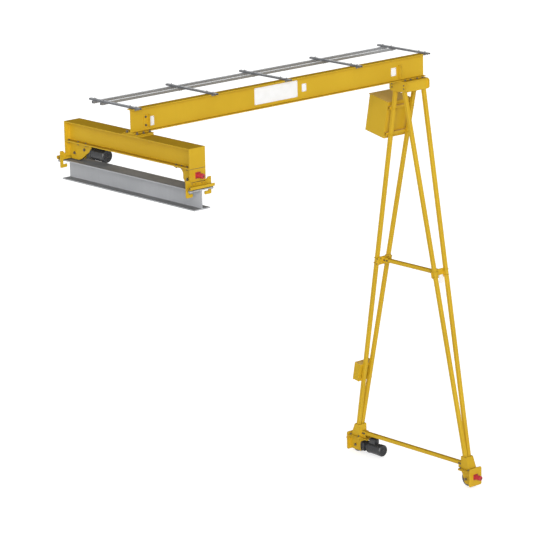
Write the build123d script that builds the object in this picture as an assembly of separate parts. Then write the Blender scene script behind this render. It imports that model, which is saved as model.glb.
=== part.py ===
from build123d import *
import math
import os

os.makedirs("parts", exist_ok=True)

# A single-leg gantry crane. One end of the bridge beam sits on an end truck
# that rolls on top of a short runway beam, the other end stands on an A-frame
# leg with two floor wheels. X runs along the bridge from truck to leg, Y along
# the runway, Z up. The origin is the middle of the runway beam's underside.

# Runway beam, a wide-flange section
runway_length = 2570
runway_depth = 254
runway_width = 254
runway_flange = 14.5
runway_web = 9
runway_root = 12

# Wheels, the same on the truck and on the floor
wheel_diameter = 204
wheel_width = 70
wheel_web = 26
wheel_rim = 18
wheel_hub_diameter = 90
wheel_edge = 3
wheel_lift = 0.3
axle_diameter = 45
axle_clearance = 0.4
axle_head_diameter = 62
axle_head = 8

# End truck on the runway: a box of two webs between wide flanges, closed by
# an end plate at each end
truck_overhang = 119
truck_depth = 254
truck_width = 250
truck_flange = 14
truck_web = 9
truck_web_gap = 82
truck_weld = 7
truck_end_plate = 16
axle_to_truck = 145
truck_wheel_spacing = 2196

# Wheel housings: two side plates, a top plate and an outboard end plate
housing_plate = 12
housing_side_clearance = 6
housing_top_width = 220
housing_idle_inboard = 196
housing_idle_neck = 92
housing_idle_lip = 26
housing_idle_curve = 78
housing_drive_inboard = 322
housing_height = 228
housing_corner = 40
housing_nose_rise = 84
housing_nose_run = 52
housing_drive_low_inboard = 70
housing_drive_knee = 122
housing_drive_knee_rise = 19
housing_drive_nose = 70
truck_plate_height = 194

# Anti-lift hook plates at the truck's ends, with the guide rollers' shelves
hook_plate = 12
hook_bar_width = 44
hook_flange_gap = 28
hook_above_rail = 12
hook_height = 122
hook_ear_drop = 40
hook_lip_reach = 60
hook_lip_drop = 50
hook_lip_height = 42
hook_corner = 8
shelf_thickness = 10
shelf_reach = 78
shelf_leg = 40
shelf_bend = 14
shelf_margin = 8
roller_diameter = 62
roller_height = 24
roller_gap = 2
roller_shelf_gap = 7
roller_pin_diameter = 16
roller_pin_clearance = 0.3
roller_keeper_diameter = 26
roller_keeper = 5
roller_keeper_gap = 1
roller_rim = 9
roller_dish = 3
roller_edge = 2.5

# Rubber bumpers
bumper_diameter = 64
bumper_length = 98
bumper_base_side = 76
bumper_base = 10
bumper_nose = 14
bumper_above_axle = 62

# Geared brake motors
motor_diameter = 165
motor_length = 262
motor_core_diameter = 156
motor_fan_cover_length = 66
motor_flange_length = 16
motor_end_corner = 9
motor_end_ring = 20
motor_end_recess = 4
motor_rib_count = 4
motor_rib_length = 3
terminal_box_length = 112
terminal_box_width = 88
terminal_box_height = 46
terminal_box_corner = 6
truck_motor_above_axle = 29
gearbox_width = 78
gearbox_length = 116
gearbox_height = 150
gearbox_corner = 10
floor_gearbox_width = 150
floor_gearbox_length = 118
floor_gearbox_height = 138
floor_gearbox_corner = 24
floor_gearbox_flange = 8
floor_gearbox_rim = 9
gearbox_neck_diameter = 106
gearbox_neck = 56
gearbox_cone = 20

# Bridge beam and its seat on the truck
bridge_shift = -95
bridge_start = -110
bridge_length = 5015
bridge_depth = 305
bridge_width = 102
bridge_flange = 12.5
bridge_web = 7.5
bridge_root = 9
seat_plate = 12
seat_length = 320
seat_width = 246
sole_plate = 12
sole_length = 284
sole_width = 252

# Trolley stops, angles bolted upright on both sides of the bridge's web
stop_leg = 74
stop_height = 158
stop_drop = 26
stop_thickness = 8
stop_reach = 44
stop_left_x = 96
stop_right_x = 4437

# Festoon arms across the bridge's top flange and the two tracks under them
arm_count = 5
arm_first_x = -58
arm_pitch = 1236
arm_width = 42
arm_height = 24
arm_wall = 4
arm_near = 137
arm_length = 978
track_near = 586
track_far = 749
track_size = 32
track_wall = 2.5
track_slot = 12
track_start = -96
track_length = 5046
clamp_thickness = 6
clamp_length = 46

# Leg head under the bridge
leg_x = 4651
head_length = 428
head_height = 145
head_width = 326
head_plate = 12
head_box_width = 268
head_chamfer = 26
head_hand_hole = 60

# Legs, four square tubes in an A-frame
tube_size = 50.8
tube_wall = 5
tube_corner = 7
leg_top_half_x = 175
leg_top_half_y = 85
leg_foot_half_x = 26.5
leg_foot_half_y = 1072

# Floor level and foot housings
floor_drop = 4642
axle_to_foot = 125
foot_to_axle = 6.5
foot_housing_height = 196
foot_idle_inboard = 106
foot_idle_waist = 54
foot_idle_waist_rise = 12
foot_idle_heel = 26
foot_drive_inboard = 112
foot_drive_cover = 246
foot_cover_width = 160
foot_side_outboard = 108
foot_seat_plate = 5
foot_top_width = 216
foot_end_width = 232
foot_end_height = 252
foot_end_above = 46
foot_end_chamfer = 15

# Foot shoes, gussets and the clevises of the bottom strut
shoe_base = 12
shoe_length = 206
shoe_width = 200
gusset_thickness = 10
gusset_height = 168
gusset_top_length = 96
gusset_foot_length = 168
gusset_gap = 0.3
clevis_thickness = 8
clevis_height = 62
clevis_reach = 58
clevis_gap = 0.3
strut_above_foot = 49
pin_diameter = 18
pin_clearance = 0.3

# Struts between the two sides of the A-frame
mid_strut_z = -1787
strut_size = 50.8
strut_wall = 4
bracket_plate = 10
bracket_height = 120
bracket_chamfer = 24
bracket_ear_thickness = 8
bracket_ear_reach = 128
bracket_ear_height = 86
bracket_ear_chamfer = 30
bracket_margin = 14

# Control cabinet and the small box, both on the outboard legs
cabinet_width = 433
cabinet_height = 515
cabinet_depth = 358
cabinet_corner = 8
cabinet_center_z = 198
cabinet_rail_size = 41
cabinet_rail_wall = 3
cabinet_rail_share = 0.36
door_margin = 16
door_proud = 6
door_reveal = 3
small_box_width = 260
small_box_height = 254
small_box_depth = 96
small_box_center_z = -3462
small_box_lid = 14
small_box_lid_margin = 5
small_box_corner = 5
small_box_pad = 10

# One overrun serves every cut
cut_over = 20

# Levels and places that follow from the sizes
rail_top = runway_depth
axle_z = rail_top + wheel_lift + wheel_diameter / 2
truck_bottom = axle_z + axle_to_truck
truck_top = truck_bottom + truck_depth
bridge_bottom = truck_top + seat_plate + sole_plate
bridge_top = bridge_bottom + bridge_depth
truck_end = truck_wheel_spacing / 2 + truck_overhang
truck_axle_y = truck_wheel_spacing / 2
housing_inner = wheel_width / 2 + housing_side_clearance
housing_outer = housing_inner + housing_plate
floor_axle_z = wheel_diameter / 2 - floor_drop
foot_z = floor_axle_z + axle_to_foot
floor_axle_y = leg_foot_half_y + foot_to_axle
head_bottom = bridge_bottom - head_height
leg_top_z = head_bottom
leg_bottom_z = foot_z + shoe_base
leg_slope_x = (leg_top_half_x - leg_foot_half_x) / (leg_top_z - leg_bottom_z)
leg_slope_y = (leg_foot_half_y - leg_top_half_y) / (leg_top_z - leg_bottom_z)
leg_lean = math.degrees(math.atan(leg_slope_y))


def block(x0, x1, y0, y1, z0, z1):
    """A box between two opposite corners."""
    place = Pos((x0 + x1) / 2, (y0 + y1) / 2, (z0 + z1) / 2)
    return place * Box(x1 - x0, y1 - y0, z1 - z0)


def face_of(points):
    """A flat face inside a closed outline."""
    return make_face(Polyline(*points, close=True))


def plate_yz(face, x0, x1):
    """A plate from x0 to x1 whose outline is drawn in Y and Z."""
    plane = Plane(origin=(x0, 0, 0), x_dir=(0, 1, 0), z_dir=(1, 0, 0))
    return extrude(plane * face, amount=x1 - x0)


def plate_xz(face, y0, y1):
    """A plate from y0 to y1 whose outline is drawn in X and Z."""
    plane = Plane(origin=(0, y1, 0), x_dir=(1, 0, 0), z_dir=(0, -1, 0))
    return extrude(plane * face, amount=y1 - y0)


def both_ends(shape):
    """The shape made for the +Y end, and its mirror for the -Y end."""
    return shape, mirror(shape, about=Plane.XZ)


def i_face(depth, width, flange, web, root):
    """The outline of a rolled I-section, standing on its underside."""
    half, rib = width / 2, web / 2
    right = [(half, 0), (half, flange), (rib, flange), (rib, depth - flange),
             (half, depth - flange), (half, depth)]
    left = [(-x, z) for x, z in reversed(right)]
    face = face_of(right + left)
    roots = [v for v in face.vertices() if abs(v.X) < half / 2]
    return fillet(roots, root)


def cylinder_along(axis, radius, start, end):
    """A round bar along one axis through the origin, from start to end."""
    turns = {"x": Rot(0, 90, 0), "y": Rot(-90, 0, 0), "z": Rot(0, 0, 0)}
    bar = Cylinder(radius, end - start)
    return turns[axis] * (Pos(0, 0, (start + end) / 2) * bar)


def square_tube_face(size, wall, corner):
    """The cross-section of a square tube with rounded outer corners."""
    outer = RectangleRounded(size, size, corner)
    return outer - RectangleRounded(size - 2 * wall, size - 2 * wall, corner - wall)


def write(name, shape):
    """Save one piece under its own name."""
    shape.label = name
    export_step(shape, os.path.join("parts", name + ".step"))


# Runway


def make_runway():
    face = i_face(runway_depth, runway_width, runway_flange, runway_web, runway_root)
    return plate_xz(face, -runway_length / 2, runway_length / 2)


# Wheels and axles


def make_wheel():
    """A plain-tread wheel turning about X, with a dished web on both sides."""
    radius, half = wheel_diameter / 2, wheel_width / 2
    profile = [(0, -half), (radius - wheel_edge, -half), (radius, wheel_edge - half),
               (radius, half - wheel_edge), (radius - wheel_edge, half), (0, half)]
    body = revolve(Plane.XZ * face_of(profile), axis=Axis.Z)
    dish_depth = (wheel_width - wheel_web) / 2
    ring = Cylinder(radius - wheel_rim, dish_depth) - Cylinder(wheel_hub_diameter / 2, dish_depth)
    offset = half - dish_depth / 2
    body -= Pos(0, 0, offset) * ring
    body -= Pos(0, 0, -offset) * ring
    body -= Cylinder(axle_diameter / 2 + axle_clearance, wheel_width + cut_over)
    return Rot(0, 90, 0) * body


def make_axle():
    """A fixed axle through both side plates, with a head on each side."""
    reach = housing_outer
    head_end = reach + axle_head
    axle = cylinder_along("x", axle_diameter / 2, -reach, reach)
    axle += cylinder_along("x", axle_head_diameter / 2, reach, head_end)
    axle += cylinder_along("x", axle_head_diameter / 2, -head_end, -reach)
    return axle


def two_sides(face):
    """The two side plates of a wheel housing."""
    right = plate_yz(face, housing_inner, housing_outer)
    return right + mirror(right, about=Plane.YZ)


# Truck


def make_truck_beam():
    """The truck's box beam with its overhanging flanges and end plates."""
    web_out = truck_web_gap / 2 + truck_web
    outer = Pos(0, truck_depth / 2) * Rectangle(truck_width, truck_depth)
    clear = truck_depth - 2 * truck_flange
    side = truck_width / 2 - web_out
    for sign in (1, -1):
        bay = Pos(sign * (web_out + side), truck_depth / 2) * Rectangle(2 * side, clear)
        corners = [v for v in bay.vertices() if abs(v.X) < truck_width / 2]
        outer -= fillet(corners, truck_weld)
    outer -= Pos(0, truck_depth / 2) * Rectangle(truck_web_gap, clear)
    body_end = truck_end - truck_end_plate
    beam = plate_xz(outer, -body_end, body_end)
    half = truck_width / 2
    beam += block(-half, half, body_end, truck_end, 0, truck_depth)
    beam += block(-half, half, -truck_end, -body_end, 0, truck_depth)
    return Pos(0, 0, truck_bottom) * beam


def drive_side_face():
    """The long side plate of the driven end, sloping up to the motor."""
    nose = truck_end - truck_axle_y
    low = truck_bottom - housing_height
    points = [(-housing_drive_inboard, truck_bottom), (nose, truck_bottom),
              (nose, low + housing_nose_rise), (nose - housing_nose_run, low),
              (-housing_drive_low_inboard, low),
              (-housing_drive_knee, low + housing_drive_knee_rise),
              (-housing_drive_inboard, truck_bottom - housing_drive_nose)]
    return face_of(points)


def idle_side_face():
    """The short side plate of the idle end, with a curved neck by the wheel."""
    nose = truck_end - truck_axle_y
    low = truck_bottom - housing_height
    lip = truck_bottom - housing_idle_lip
    points = [(-housing_idle_inboard, truck_bottom), (nose, truck_bottom),
              (nose, low + housing_nose_rise), (nose - housing_nose_run, low),
              (housing_nose_run - housing_idle_neck, low),
              (-housing_idle_neck, low + housing_nose_rise), (-housing_idle_neck, lip),
              (-housing_idle_inboard, lip)]
    face = face_of(points)
    neck = face.vertices().sort_by_distance((-housing_idle_neck, lip, 0))[0]
    return fillet(neck, housing_idle_curve)


def make_truck_housing(side_face, inboard):
    """One wheel housing of the truck, made at the +Y end."""
    nose = truck_end - truck_axle_y
    half_top = housing_top_width / 2
    housing = two_sides(side_face)
    top = block(-half_top, half_top, -inboard, nose, truck_bottom - housing_plate, truck_bottom)
    housing += top
    half = truck_width / 2
    low = truck_bottom - truck_plate_height
    housing += block(-half, half, nose - housing_plate, nose, low, truck_bottom)
    housing += Pos(0, 0, axle_z) * make_axle()
    return Pos(0, truck_axle_y, 0) * housing


def roller_spot():
    """Where a guide roller stands, at the +X side of the +Y end."""
    x = runway_width / 2 + roller_gap + roller_diameter / 2
    y = truck_end + hook_plate + shelf_reach / 2
    return x, y


def hook_outline():
    """Half of the C-shaped hook plate with its raised ear, drawn in X and Z."""
    inner = runway_width / 2 + hook_flange_gap
    outer = inner + hook_bar_width
    lip_top = rail_top - hook_lip_drop
    lip_low = lip_top - hook_lip_height
    tip = inner - hook_lip_reach
    top = rail_top + hook_height
    saddle = top - hook_ear_drop
    return [(0, saddle), (inner - hook_ear_drop, saddle), (inner, top), (outer, top),
            (outer, lip_low + hook_corner), (outer - hook_corner, lip_low),
            (tip + hook_corner, lip_low), (tip, lip_low + hook_corner), (tip, lip_top),
            (inner, lip_top), (inner, rail_top + hook_above_rail),
            (0, rail_top + hook_above_rail)]


def roller_pin():
    """The pin that hangs under a shelf and carries one guide roller."""
    shelf_low = rail_top + hook_above_rail
    low = shelf_low - roller_shelf_gap - roller_height - roller_keeper_gap
    pin = cylinder_along("z", roller_pin_diameter / 2, low, shelf_low)
    keeper = cylinder_along("z", roller_keeper_diameter / 2, low - roller_keeper, low)
    return pin + keeper


def shelf_face(y):
    """The shelf's section: level, then bent up at its outer edge."""
    low = rail_top + hook_above_rail
    high, tip = low + shelf_thickness, low + shelf_leg
    edge = y + shelf_reach
    points = [(y, low), (edge, low), (edge, tip), (edge - shelf_thickness, tip),
              (edge - shelf_thickness, high), (y, high)]
    face = face_of(points)
    inside = face.vertices().sort_by_distance((edge - shelf_thickness, high, 0))[0]
    face = fillet(inside, shelf_bend - shelf_thickness)
    outside = face.vertices().sort_by_distance((edge, low, 0))[0]
    return fillet(outside, shelf_bend)


def make_hook():
    """Hook plate, bent shelf and roller pins at the +Y end."""
    y0 = truck_end
    y1 = y0 + hook_plate
    half = hook_outline()
    other = [(-x, z) for x, z in reversed(half[1:-1])]
    hook = plate_xz(face_of(half + other), y0, y1)
    reach = runway_width / 2 + hook_flange_gap + hook_bar_width - shelf_margin
    hook += plate_yz(shelf_face(y1), -reach, reach)
    x, y = roller_spot()
    for side in (1, -1):
        hook += Pos(side * x, y, 0) * roller_pin()
    return hook


def make_roller():
    """A guide roller that turns about Z, at the +X side of the +Y end."""
    x, y = roller_spot()
    high = rail_top + hook_above_rail - roller_shelf_gap
    low = high - roller_height
    bore = roller_pin_diameter / 2 + roller_pin_clearance
    rim, hub = roller_diameter / 2, roller_keeper_diameter / 2
    web = rim - roller_rim
    profile = [(bore, low), (hub, low), (hub, low + roller_dish), (web, low + roller_dish),
               (web, low), (rim - roller_edge, low), (rim, low + roller_edge),
               (rim, high - roller_edge), (rim - roller_edge, high), (web, high),
               (web, high - roller_dish), (hub, high - roller_dish), (hub, high), (bore, high)]
    return Pos(x, y, 0) * revolve(Plane.XZ * face_of(profile), axis=Axis.Z)


def make_bumper(face_y, z):
    """A rubber bumper on a steel base, pointing to +Y from a flat face."""
    half = bumper_base_side / 2
    base = block(-half, half, 0, bumper_base, -half, half)
    rubber = cylinder_along("y", bumper_diameter / 2, bumper_base, bumper_base + bumper_length)
    nose = rubber.edges().filter_by(GeomType.CIRCLE).sort_by(Axis.Y)[-1]
    return Pos(0, face_y, z) * (base + fillet(nose, bumper_nose))


# Drives


def make_motor():
    """A closed smooth motor along -Y: flange, shell and fan cover in one turn."""
    radius, core = motor_diameter / 2, motor_core_diameter / 2
    shell_end = motor_length - motor_fan_cover_length
    ring = radius - motor_end_ring
    profile = [(0, 0), (radius, 0), (radius, motor_flange_length), (core, motor_flange_length),
               (core, shell_end), (radius, shell_end), (radius, motor_length - motor_end_corner),
               (radius - motor_end_corner, motor_length), (ring, motor_length),
               (ring, motor_length - motor_end_recess), (0, motor_length - motor_end_recess)]
    body = revolve(Plane.XZ * face_of(profile), axis=Axis.Z)
    pitch = (shell_end - motor_flange_length) / (motor_rib_count + 1)
    for step in range(motor_rib_count):
        start = motor_flange_length + pitch * (step + 1)
        body += cylinder_along("z", radius - motor_rib_length, start, start + motor_rib_length)
    return Rot(90, 0, 0) * body


def make_terminal_box():
    """The terminal box, standing up from the motor's core."""
    low = motor_core_diameter / 2 - terminal_box_corner
    high = motor_diameter / 2 + terminal_box_height
    y1 = -motor_flange_length - terminal_box_corner
    half = terminal_box_width / 2
    box = block(-half, half, y1 - terminal_box_length, y1, low, high)
    return fillet(box.edges().filter_by(Axis.Z) + box.faces().sort_by(Axis.Z)[-1].edges(),
                  terminal_box_corner)


def make_truck_gearbox():
    """The narrow gearbox between the long side plates."""
    y0 = truck_axle_y - housing_drive_inboard
    half = gearbox_width / 2
    z = axle_z + truck_motor_above_axle
    box = block(-half, half, y0, y0 + gearbox_length, z - gearbox_height / 2,
                z + gearbox_height / 2)
    return fillet(box.edges().filter_by(Axis.X), gearbox_corner)


def make_truck_motor():
    y0 = truck_axle_y - housing_drive_inboard
    motor = make_motor() + Rot(0, 90, 0) * make_terminal_box()
    return Pos(0, y0, axle_z + truck_motor_above_axle) * motor


def make_floor_gearbox():
    """The right-angle gearbox beside the driven floor wheel."""
    y1 = floor_axle_y - foot_drive_inboard
    y0 = y1 - floor_gearbox_length
    width, height = floor_gearbox_width, floor_gearbox_height
    rim = RectangleRounded(width, height, floor_gearbox_corner)
    slim = RectangleRounded(width - 2 * floor_gearbox_rim, height - 2 * floor_gearbox_rim,
                            floor_gearbox_corner - floor_gearbox_rim)
    box = plate_xz(rim, y1 - floor_gearbox_flange, y1)
    box += plate_xz(slim, y0 + gearbox_neck, y1)
    neck = gearbox_neck_diameter / 2
    wide, narrow = Plane.XZ.offset(-y0), Plane.XZ.offset(-y0 - gearbox_cone)
    cone = loft([wide * Circle(motor_diameter / 2), narrow * Circle(neck)])
    box += cone + cylinder_along("y", neck, y0, y1)
    return Pos(leg_x, bridge_shift, floor_axle_z) * box


def make_floor_motor():
    y0 = floor_axle_y - foot_drive_inboard - floor_gearbox_length
    motor = make_motor() + make_terminal_box()
    return Pos(leg_x, bridge_shift + y0, floor_axle_z) * motor


# Bridge


def make_bridge():
    """The bridge beam with the sole plate welded under its truck end."""
    face = i_face(bridge_depth, bridge_width, bridge_flange, bridge_web, bridge_root)
    beam = Plane(origin=(bridge_start, bridge_shift, bridge_bottom), x_dir=(0, 1, 0),
                 z_dir=(1, 0, 0)) * face
    beam = extrude(beam, amount=bridge_length)
    x0 = max(bridge_start, -sole_width / 2)
    half = sole_length / 2
    beam += block(x0, x0 + sole_width, bridge_shift - half, bridge_shift + half,
                  bridge_bottom - sole_plate, bridge_bottom)
    return beam


def make_seat():
    half_x, half_y = seat_width / 2, seat_length / 2
    return block(-half_x, half_x, bridge_shift - half_y, bridge_shift + half_y,
                 truck_top, truck_top + seat_plate)


def make_stop(x0, turned):
    """Two stop angles back to back through the web, upright."""
    web = bridge_web / 2
    mid = bridge_bottom + bridge_depth / 2 - stop_drop
    low, high = mid - stop_height / 2, mid + stop_height / 2
    flat = block(x0, x0 + stop_leg, -web - stop_thickness, -web, low, high)
    edge = x0 if turned else x0 + stop_leg - stop_thickness
    flat += block(edge, edge + stop_thickness, -web - stop_reach, -web, low, high)
    pair = flat + mirror(flat, about=Plane.XZ)
    return Pos(0, bridge_shift, 0) * pair


def make_arm(x):
    """One festoon arm, a shallow channel with its flange clamps and track clips."""
    half = arm_width / 2
    y0 = bridge_shift - arm_near
    y1 = y0 + arm_length
    arm = block(x - half, x + half, y0, y1, bridge_top, bridge_top + arm_height)
    inner = half - arm_wall
    arm -= block(x - inner, x + inner, y0 - cut_over, y1 + cut_over, bridge_top - cut_over,
                 bridge_top + arm_height - arm_wall)
    low = bridge_top - bridge_flange - clamp_thickness
    for side in (1, -1):
        edge = bridge_shift + side * bridge_width / 2
        y_in, y_out = sorted((edge, edge + side * clamp_thickness))
        arm += block(x - half, x + half, y_in, y_out, low, bridge_top + arm_height - arm_wall)
    return arm


def make_arms():
    """All festoon arms, evenly spaced along the bridge."""
    arms = [make_arm(arm_first_x + i * arm_pitch) for i in range(arm_count)]
    return Compound(children=arms)


def track_face():
    """The C-profile of a festoon track, open below, hung from its top."""
    half = track_size / 2
    face = Pos(0, -half) * Rectangle(track_size, track_size)
    inside = track_size - 2 * track_wall
    face -= Pos(0, -half) * Rectangle(inside, inside)
    return face - Pos(0, -track_size) * Rectangle(track_slot, track_size)


def make_tracks():
    """The near and the far festoon track."""
    tracks = []
    for y in (track_near, track_far):
        plane = Plane(origin=(track_start, bridge_shift + y, bridge_top), x_dir=(0, 1, 0),
                      z_dir=(1, 0, 0))
        tracks.append(extrude(plane * track_face(), amount=track_length))
    return Compound(children=tracks)


# A-frame leg


def leg_half_x(z):
    """Half the spacing of a leg pair along X at a height."""
    return leg_foot_half_x + (z - leg_bottom_z) * leg_slope_x


def leg_half_y(z):
    """Half the spacing of the two pairs along Y at a height."""
    return leg_foot_half_y - (z - leg_bottom_z) * leg_slope_y


def make_head():
    """The box under the bridge that the four legs are welded to."""
    half = head_length / 2
    half_top, half_box = head_width / 2 - head_plate, head_box_width / 2
    end = chamfer(Rectangle(head_width, head_height).vertices(), head_chamfer)
    end = Pos(0, -head_height / 2) * end
    plate = plate_yz(end, half - head_plate, half)
    head = plate + mirror(plate, about=Plane.YZ)
    inner = half - head_plate
    head += block(-inner, inner, -half_top, half_top, -head_plate, 0)
    head += block(-inner, inner, -half_box, half_box, -head_height, head_plate - head_height)
    for y0 in (-half_box, half_box - head_plate):
        head += block(-inner, inner, y0, y0 + head_plate, -head_height, 0)
    head -= Pos(0, 0, -head_height) * Cylinder(head_hand_hole, head_height)
    return Pos(leg_x, bridge_shift, bridge_bottom) * head


def make_leg(side_x, side_y):
    """One leaning square tube, cut level at the head and at the foot."""
    foot = Vector(side_x * leg_foot_half_x, side_y * leg_foot_half_y, leg_bottom_z)
    top = Vector(side_x * leg_top_half_x, side_y * leg_top_half_y, leg_top_z)
    axis = (top - foot).normalized()
    start = foot - axis * tube_size
    plane = Plane(origin=start, x_dir=(1, 0, 0), z_dir=axis)
    length = (top - foot).length + 2 * tube_size
    tube = extrude(plane * square_tube_face(tube_size, tube_wall, tube_corner), amount=length)
    reach = leg_top_half_x + tube_size
    y_reach = leg_foot_half_y + tube_size
    tube &= block(-reach, reach, -y_reach, y_reach, leg_bottom_z, leg_top_z)
    return Pos(leg_x, bridge_shift, 0) * tube


def leaning(z, outboard):
    """The frame of the +Y leg pair at a height: X, outboard, up along the legs."""
    plane = Plane(origin=(leg_x, bridge_shift + leg_half_y(z), z), x_dir=(1, 0, 0),
                  z_dir=(0, -math.sin(math.radians(leg_lean)), math.cos(math.radians(leg_lean))))
    return plane * Pos(0, outboard, 0)


def make_bracket():
    """The mid strut's bracket: a plate across a leg pair with two ears."""
    half = leg_half_x(mid_strut_z) + tube_size / 2 + bracket_margin
    plate = chamfer(Rectangle(2 * half, bracket_height).vertices(), bracket_chamfer)
    inner = -tube_size / 2
    plate = plate_xz(plate, inner - bracket_plate, inner)
    plate = leaning(mid_strut_z, 0) * plate
    face_y = bridge_shift + leg_half_y(mid_strut_z)
    level = tube_size / 2 / math.cos(math.radians(leg_lean))
    root = face_y - level - bracket_plate / 2
    tip = root - bracket_ear_reach
    up = bracket_ear_height / 2
    ear = [(root, mid_strut_z + up), (root, mid_strut_z - up),
           (tip + bracket_ear_chamfer, mid_strut_z - up),
           (tip, mid_strut_z - up + bracket_ear_chamfer),
           (tip, mid_strut_z + up - bracket_ear_chamfer),
           (tip + bracket_ear_chamfer, mid_strut_z + up)]
    gap = strut_size / 2 + clevis_gap
    for side in (1, -1):
        x0, x1 = sorted((side * gap, side * (gap + bracket_ear_thickness)))
        plate += plate_yz(face_of(ear), leg_x + x0, leg_x + x1)
    return plate


def mirror_leg(shape):
    """The same piece on the other side of the bridge."""
    plane = Plane(origin=(0, bridge_shift, 0), x_dir=(1, 0, 0), z_dir=(0, 1, 0))
    return mirror(shape, about=plane)


def make_mid_strut():
    """The level tube between the two brackets."""
    level = tube_size / 2 / math.cos(math.radians(leg_lean))
    end = leg_half_y(mid_strut_z) - level - bracket_plate - bracket_margin
    tube = square_tube_face(strut_size, strut_wall, tube_corner)
    tube = plate_xz(tube, -end, end)
    return Pos(leg_x, bridge_shift, mid_strut_z) * tube


def shoe_inboard():
    """The inboard edge of the foot shoe, from the crane's middle."""
    return leg_foot_half_y - shoe_length / 2


def make_foot():
    """A foot shoe at the +Y side: base, tapered shroud and a clevis."""
    mid = leg_foot_half_y
    half_x = shoe_width / 2
    y0, y1 = mid - shoe_length / 2, mid + shoe_length / 2
    foot = block(-half_x, half_x, y0, y1, foot_z, leg_bottom_z)
    top_z = leg_bottom_z + gusset_height
    lean = gusset_height * leg_slope_y
    outline = [(mid - gusset_foot_length / 2, leg_bottom_z),
               (mid + gusset_foot_length / 2, leg_bottom_z),
               (mid - lean + gusset_top_length / 2, top_z),
               (mid - lean - gusset_top_length / 2, top_z)]
    inner = leg_half_x(top_z) + tube_size / 2 + gusset_gap
    outer = inner + gusset_thickness
    shroud = plate_yz(face_of(outline), -outer, outer)
    hollow = [(outline[0][0] + gusset_thickness, leg_bottom_z),
              (outline[1][0] - gusset_thickness, leg_bottom_z),
              (outline[2][0] - gusset_thickness, top_z + cut_over),
              (outline[3][0] + gusset_thickness, top_z + cut_over)]
    foot += shroud - plate_yz(face_of(hollow), -inner, inner)
    strut_z = leg_bottom_z + strut_above_foot
    ear_gap = strut_size / 2 + clevis_gap
    ear = block(ear_gap, ear_gap + clevis_thickness, y0 - clevis_reach, y0 + clevis_reach / 2,
                foot_z, strut_z + clevis_height / 2)
    foot += ear + mirror(ear, about=Plane.YZ)
    return Pos(leg_x, bridge_shift, 0) * foot


def make_bottom_strut():
    """The level tube between the two feet, bolted in their clevises."""
    end = shoe_inboard() - clevis_gap
    strut_z = leg_bottom_z + strut_above_foot
    tube = plate_xz(square_tube_face(strut_size, strut_wall, tube_corner), -end, end)
    return Pos(leg_x, bridge_shift, strut_z) * tube


def floor_side_face(inboard, driven):
    """The side plate of a floor wheel, drawn in Y and Z from its axle."""
    low = foot_z - foot_housing_height
    if driven:
        inner = [(-inboard, low), (-inboard, foot_z)]
    else:
        waist = floor_axle_z + foot_idle_waist_rise
        inner = [(-foot_idle_heel, low), (-foot_idle_waist, waist), (-inboard, foot_z)]
    side = face_of([(foot_side_outboard, foot_z), (foot_side_outboard, low)] + inner)
    if driven:
        corner = side.vertices().sort_by_distance((-inboard, low, 0))[0]
        return chamfer(corner, housing_corner / 2)
    bend = [v for v in side.vertices() if -inboard < v.X < 0]
    return fillet(bend, housing_corner)


def make_floor_housing(inboard, driven):
    """A floor wheel housing at the +Y side, with its chamfered end plate."""
    housing = two_sides(floor_side_face(inboard, driven))
    half = foot_top_width / 2
    housing += block(-half, half, -inboard, foot_side_outboard, foot_z - housing_plate, foot_z)
    if driven:
        face, cover = floor_gearbox_width / 2, foot_cover_width / 2
        housing += block(-face, face, -inboard, foot_seat_plate - inboard,
                         floor_axle_z - floor_gearbox_height / 2, foot_z)
        housing += block(-cover, cover, -foot_drive_cover, -inboard, foot_z - housing_plate,
                         foot_z)
    end = chamfer(Rectangle(foot_end_width, foot_end_height).vertices(), foot_end_chamfer)
    top = foot_z + foot_end_above
    end = Pos(0, top - foot_end_height / 2) * end
    housing += plate_xz(end, foot_side_outboard, foot_side_outboard + housing_plate)
    housing += Pos(0, 0, floor_axle_z) * make_axle()
    return Pos(leg_x, bridge_shift + floor_axle_y, 0) * housing


# Electrical boxes


def make_cabinet():
    """The control cabinet with a proud door on its outboard face."""
    inner = tube_size / 2 + cabinet_rail_size
    half_x, half_z = cabinet_width / 2, cabinet_height / 2
    body = block(-half_x, half_x, inner, inner + cabinet_depth, -half_z, half_z)
    body = fillet(body.edges().filter_by(Axis.Y), cabinet_corner)
    outer = inner + cabinet_depth
    sealed = outer + door_reveal
    dx, dz = half_x - door_margin, half_z - door_margin
    seal_x, seal_z = dx - door_margin / 2, dz - door_margin / 2
    body += block(-seal_x, seal_x, outer - door_reveal, sealed, -seal_z, seal_z)
    door = block(-dx, dx, sealed, sealed + door_proud, -dz, dz)
    body += fillet(door.edges().filter_by(Axis.Y), cabinet_corner / 2)
    return leaning(cabinet_center_z, 0) * body


def make_cabinet_rails():
    """Two slotted rails across the leg pair that carry the cabinet."""
    half = cabinet_width / 2
    inner = tube_size / 2
    rails = []
    for side in (1, -1):
        z = side * cabinet_rail_share * cabinet_height
        rail = block(-half, half, inner, inner + cabinet_rail_size, z - cabinet_rail_size / 2,
                     z + cabinet_rail_size / 2)
        hollow = cabinet_rail_size / 2 - cabinet_rail_wall
        rail -= block(-half - cut_over, half + cut_over, inner + cabinet_rail_wall,
                      inner + cabinet_rail_size + cut_over, z - hollow, z + hollow)
        rails.append(leaning(cabinet_center_z, 0) * rail)
    return Compound(children=rails)


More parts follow.
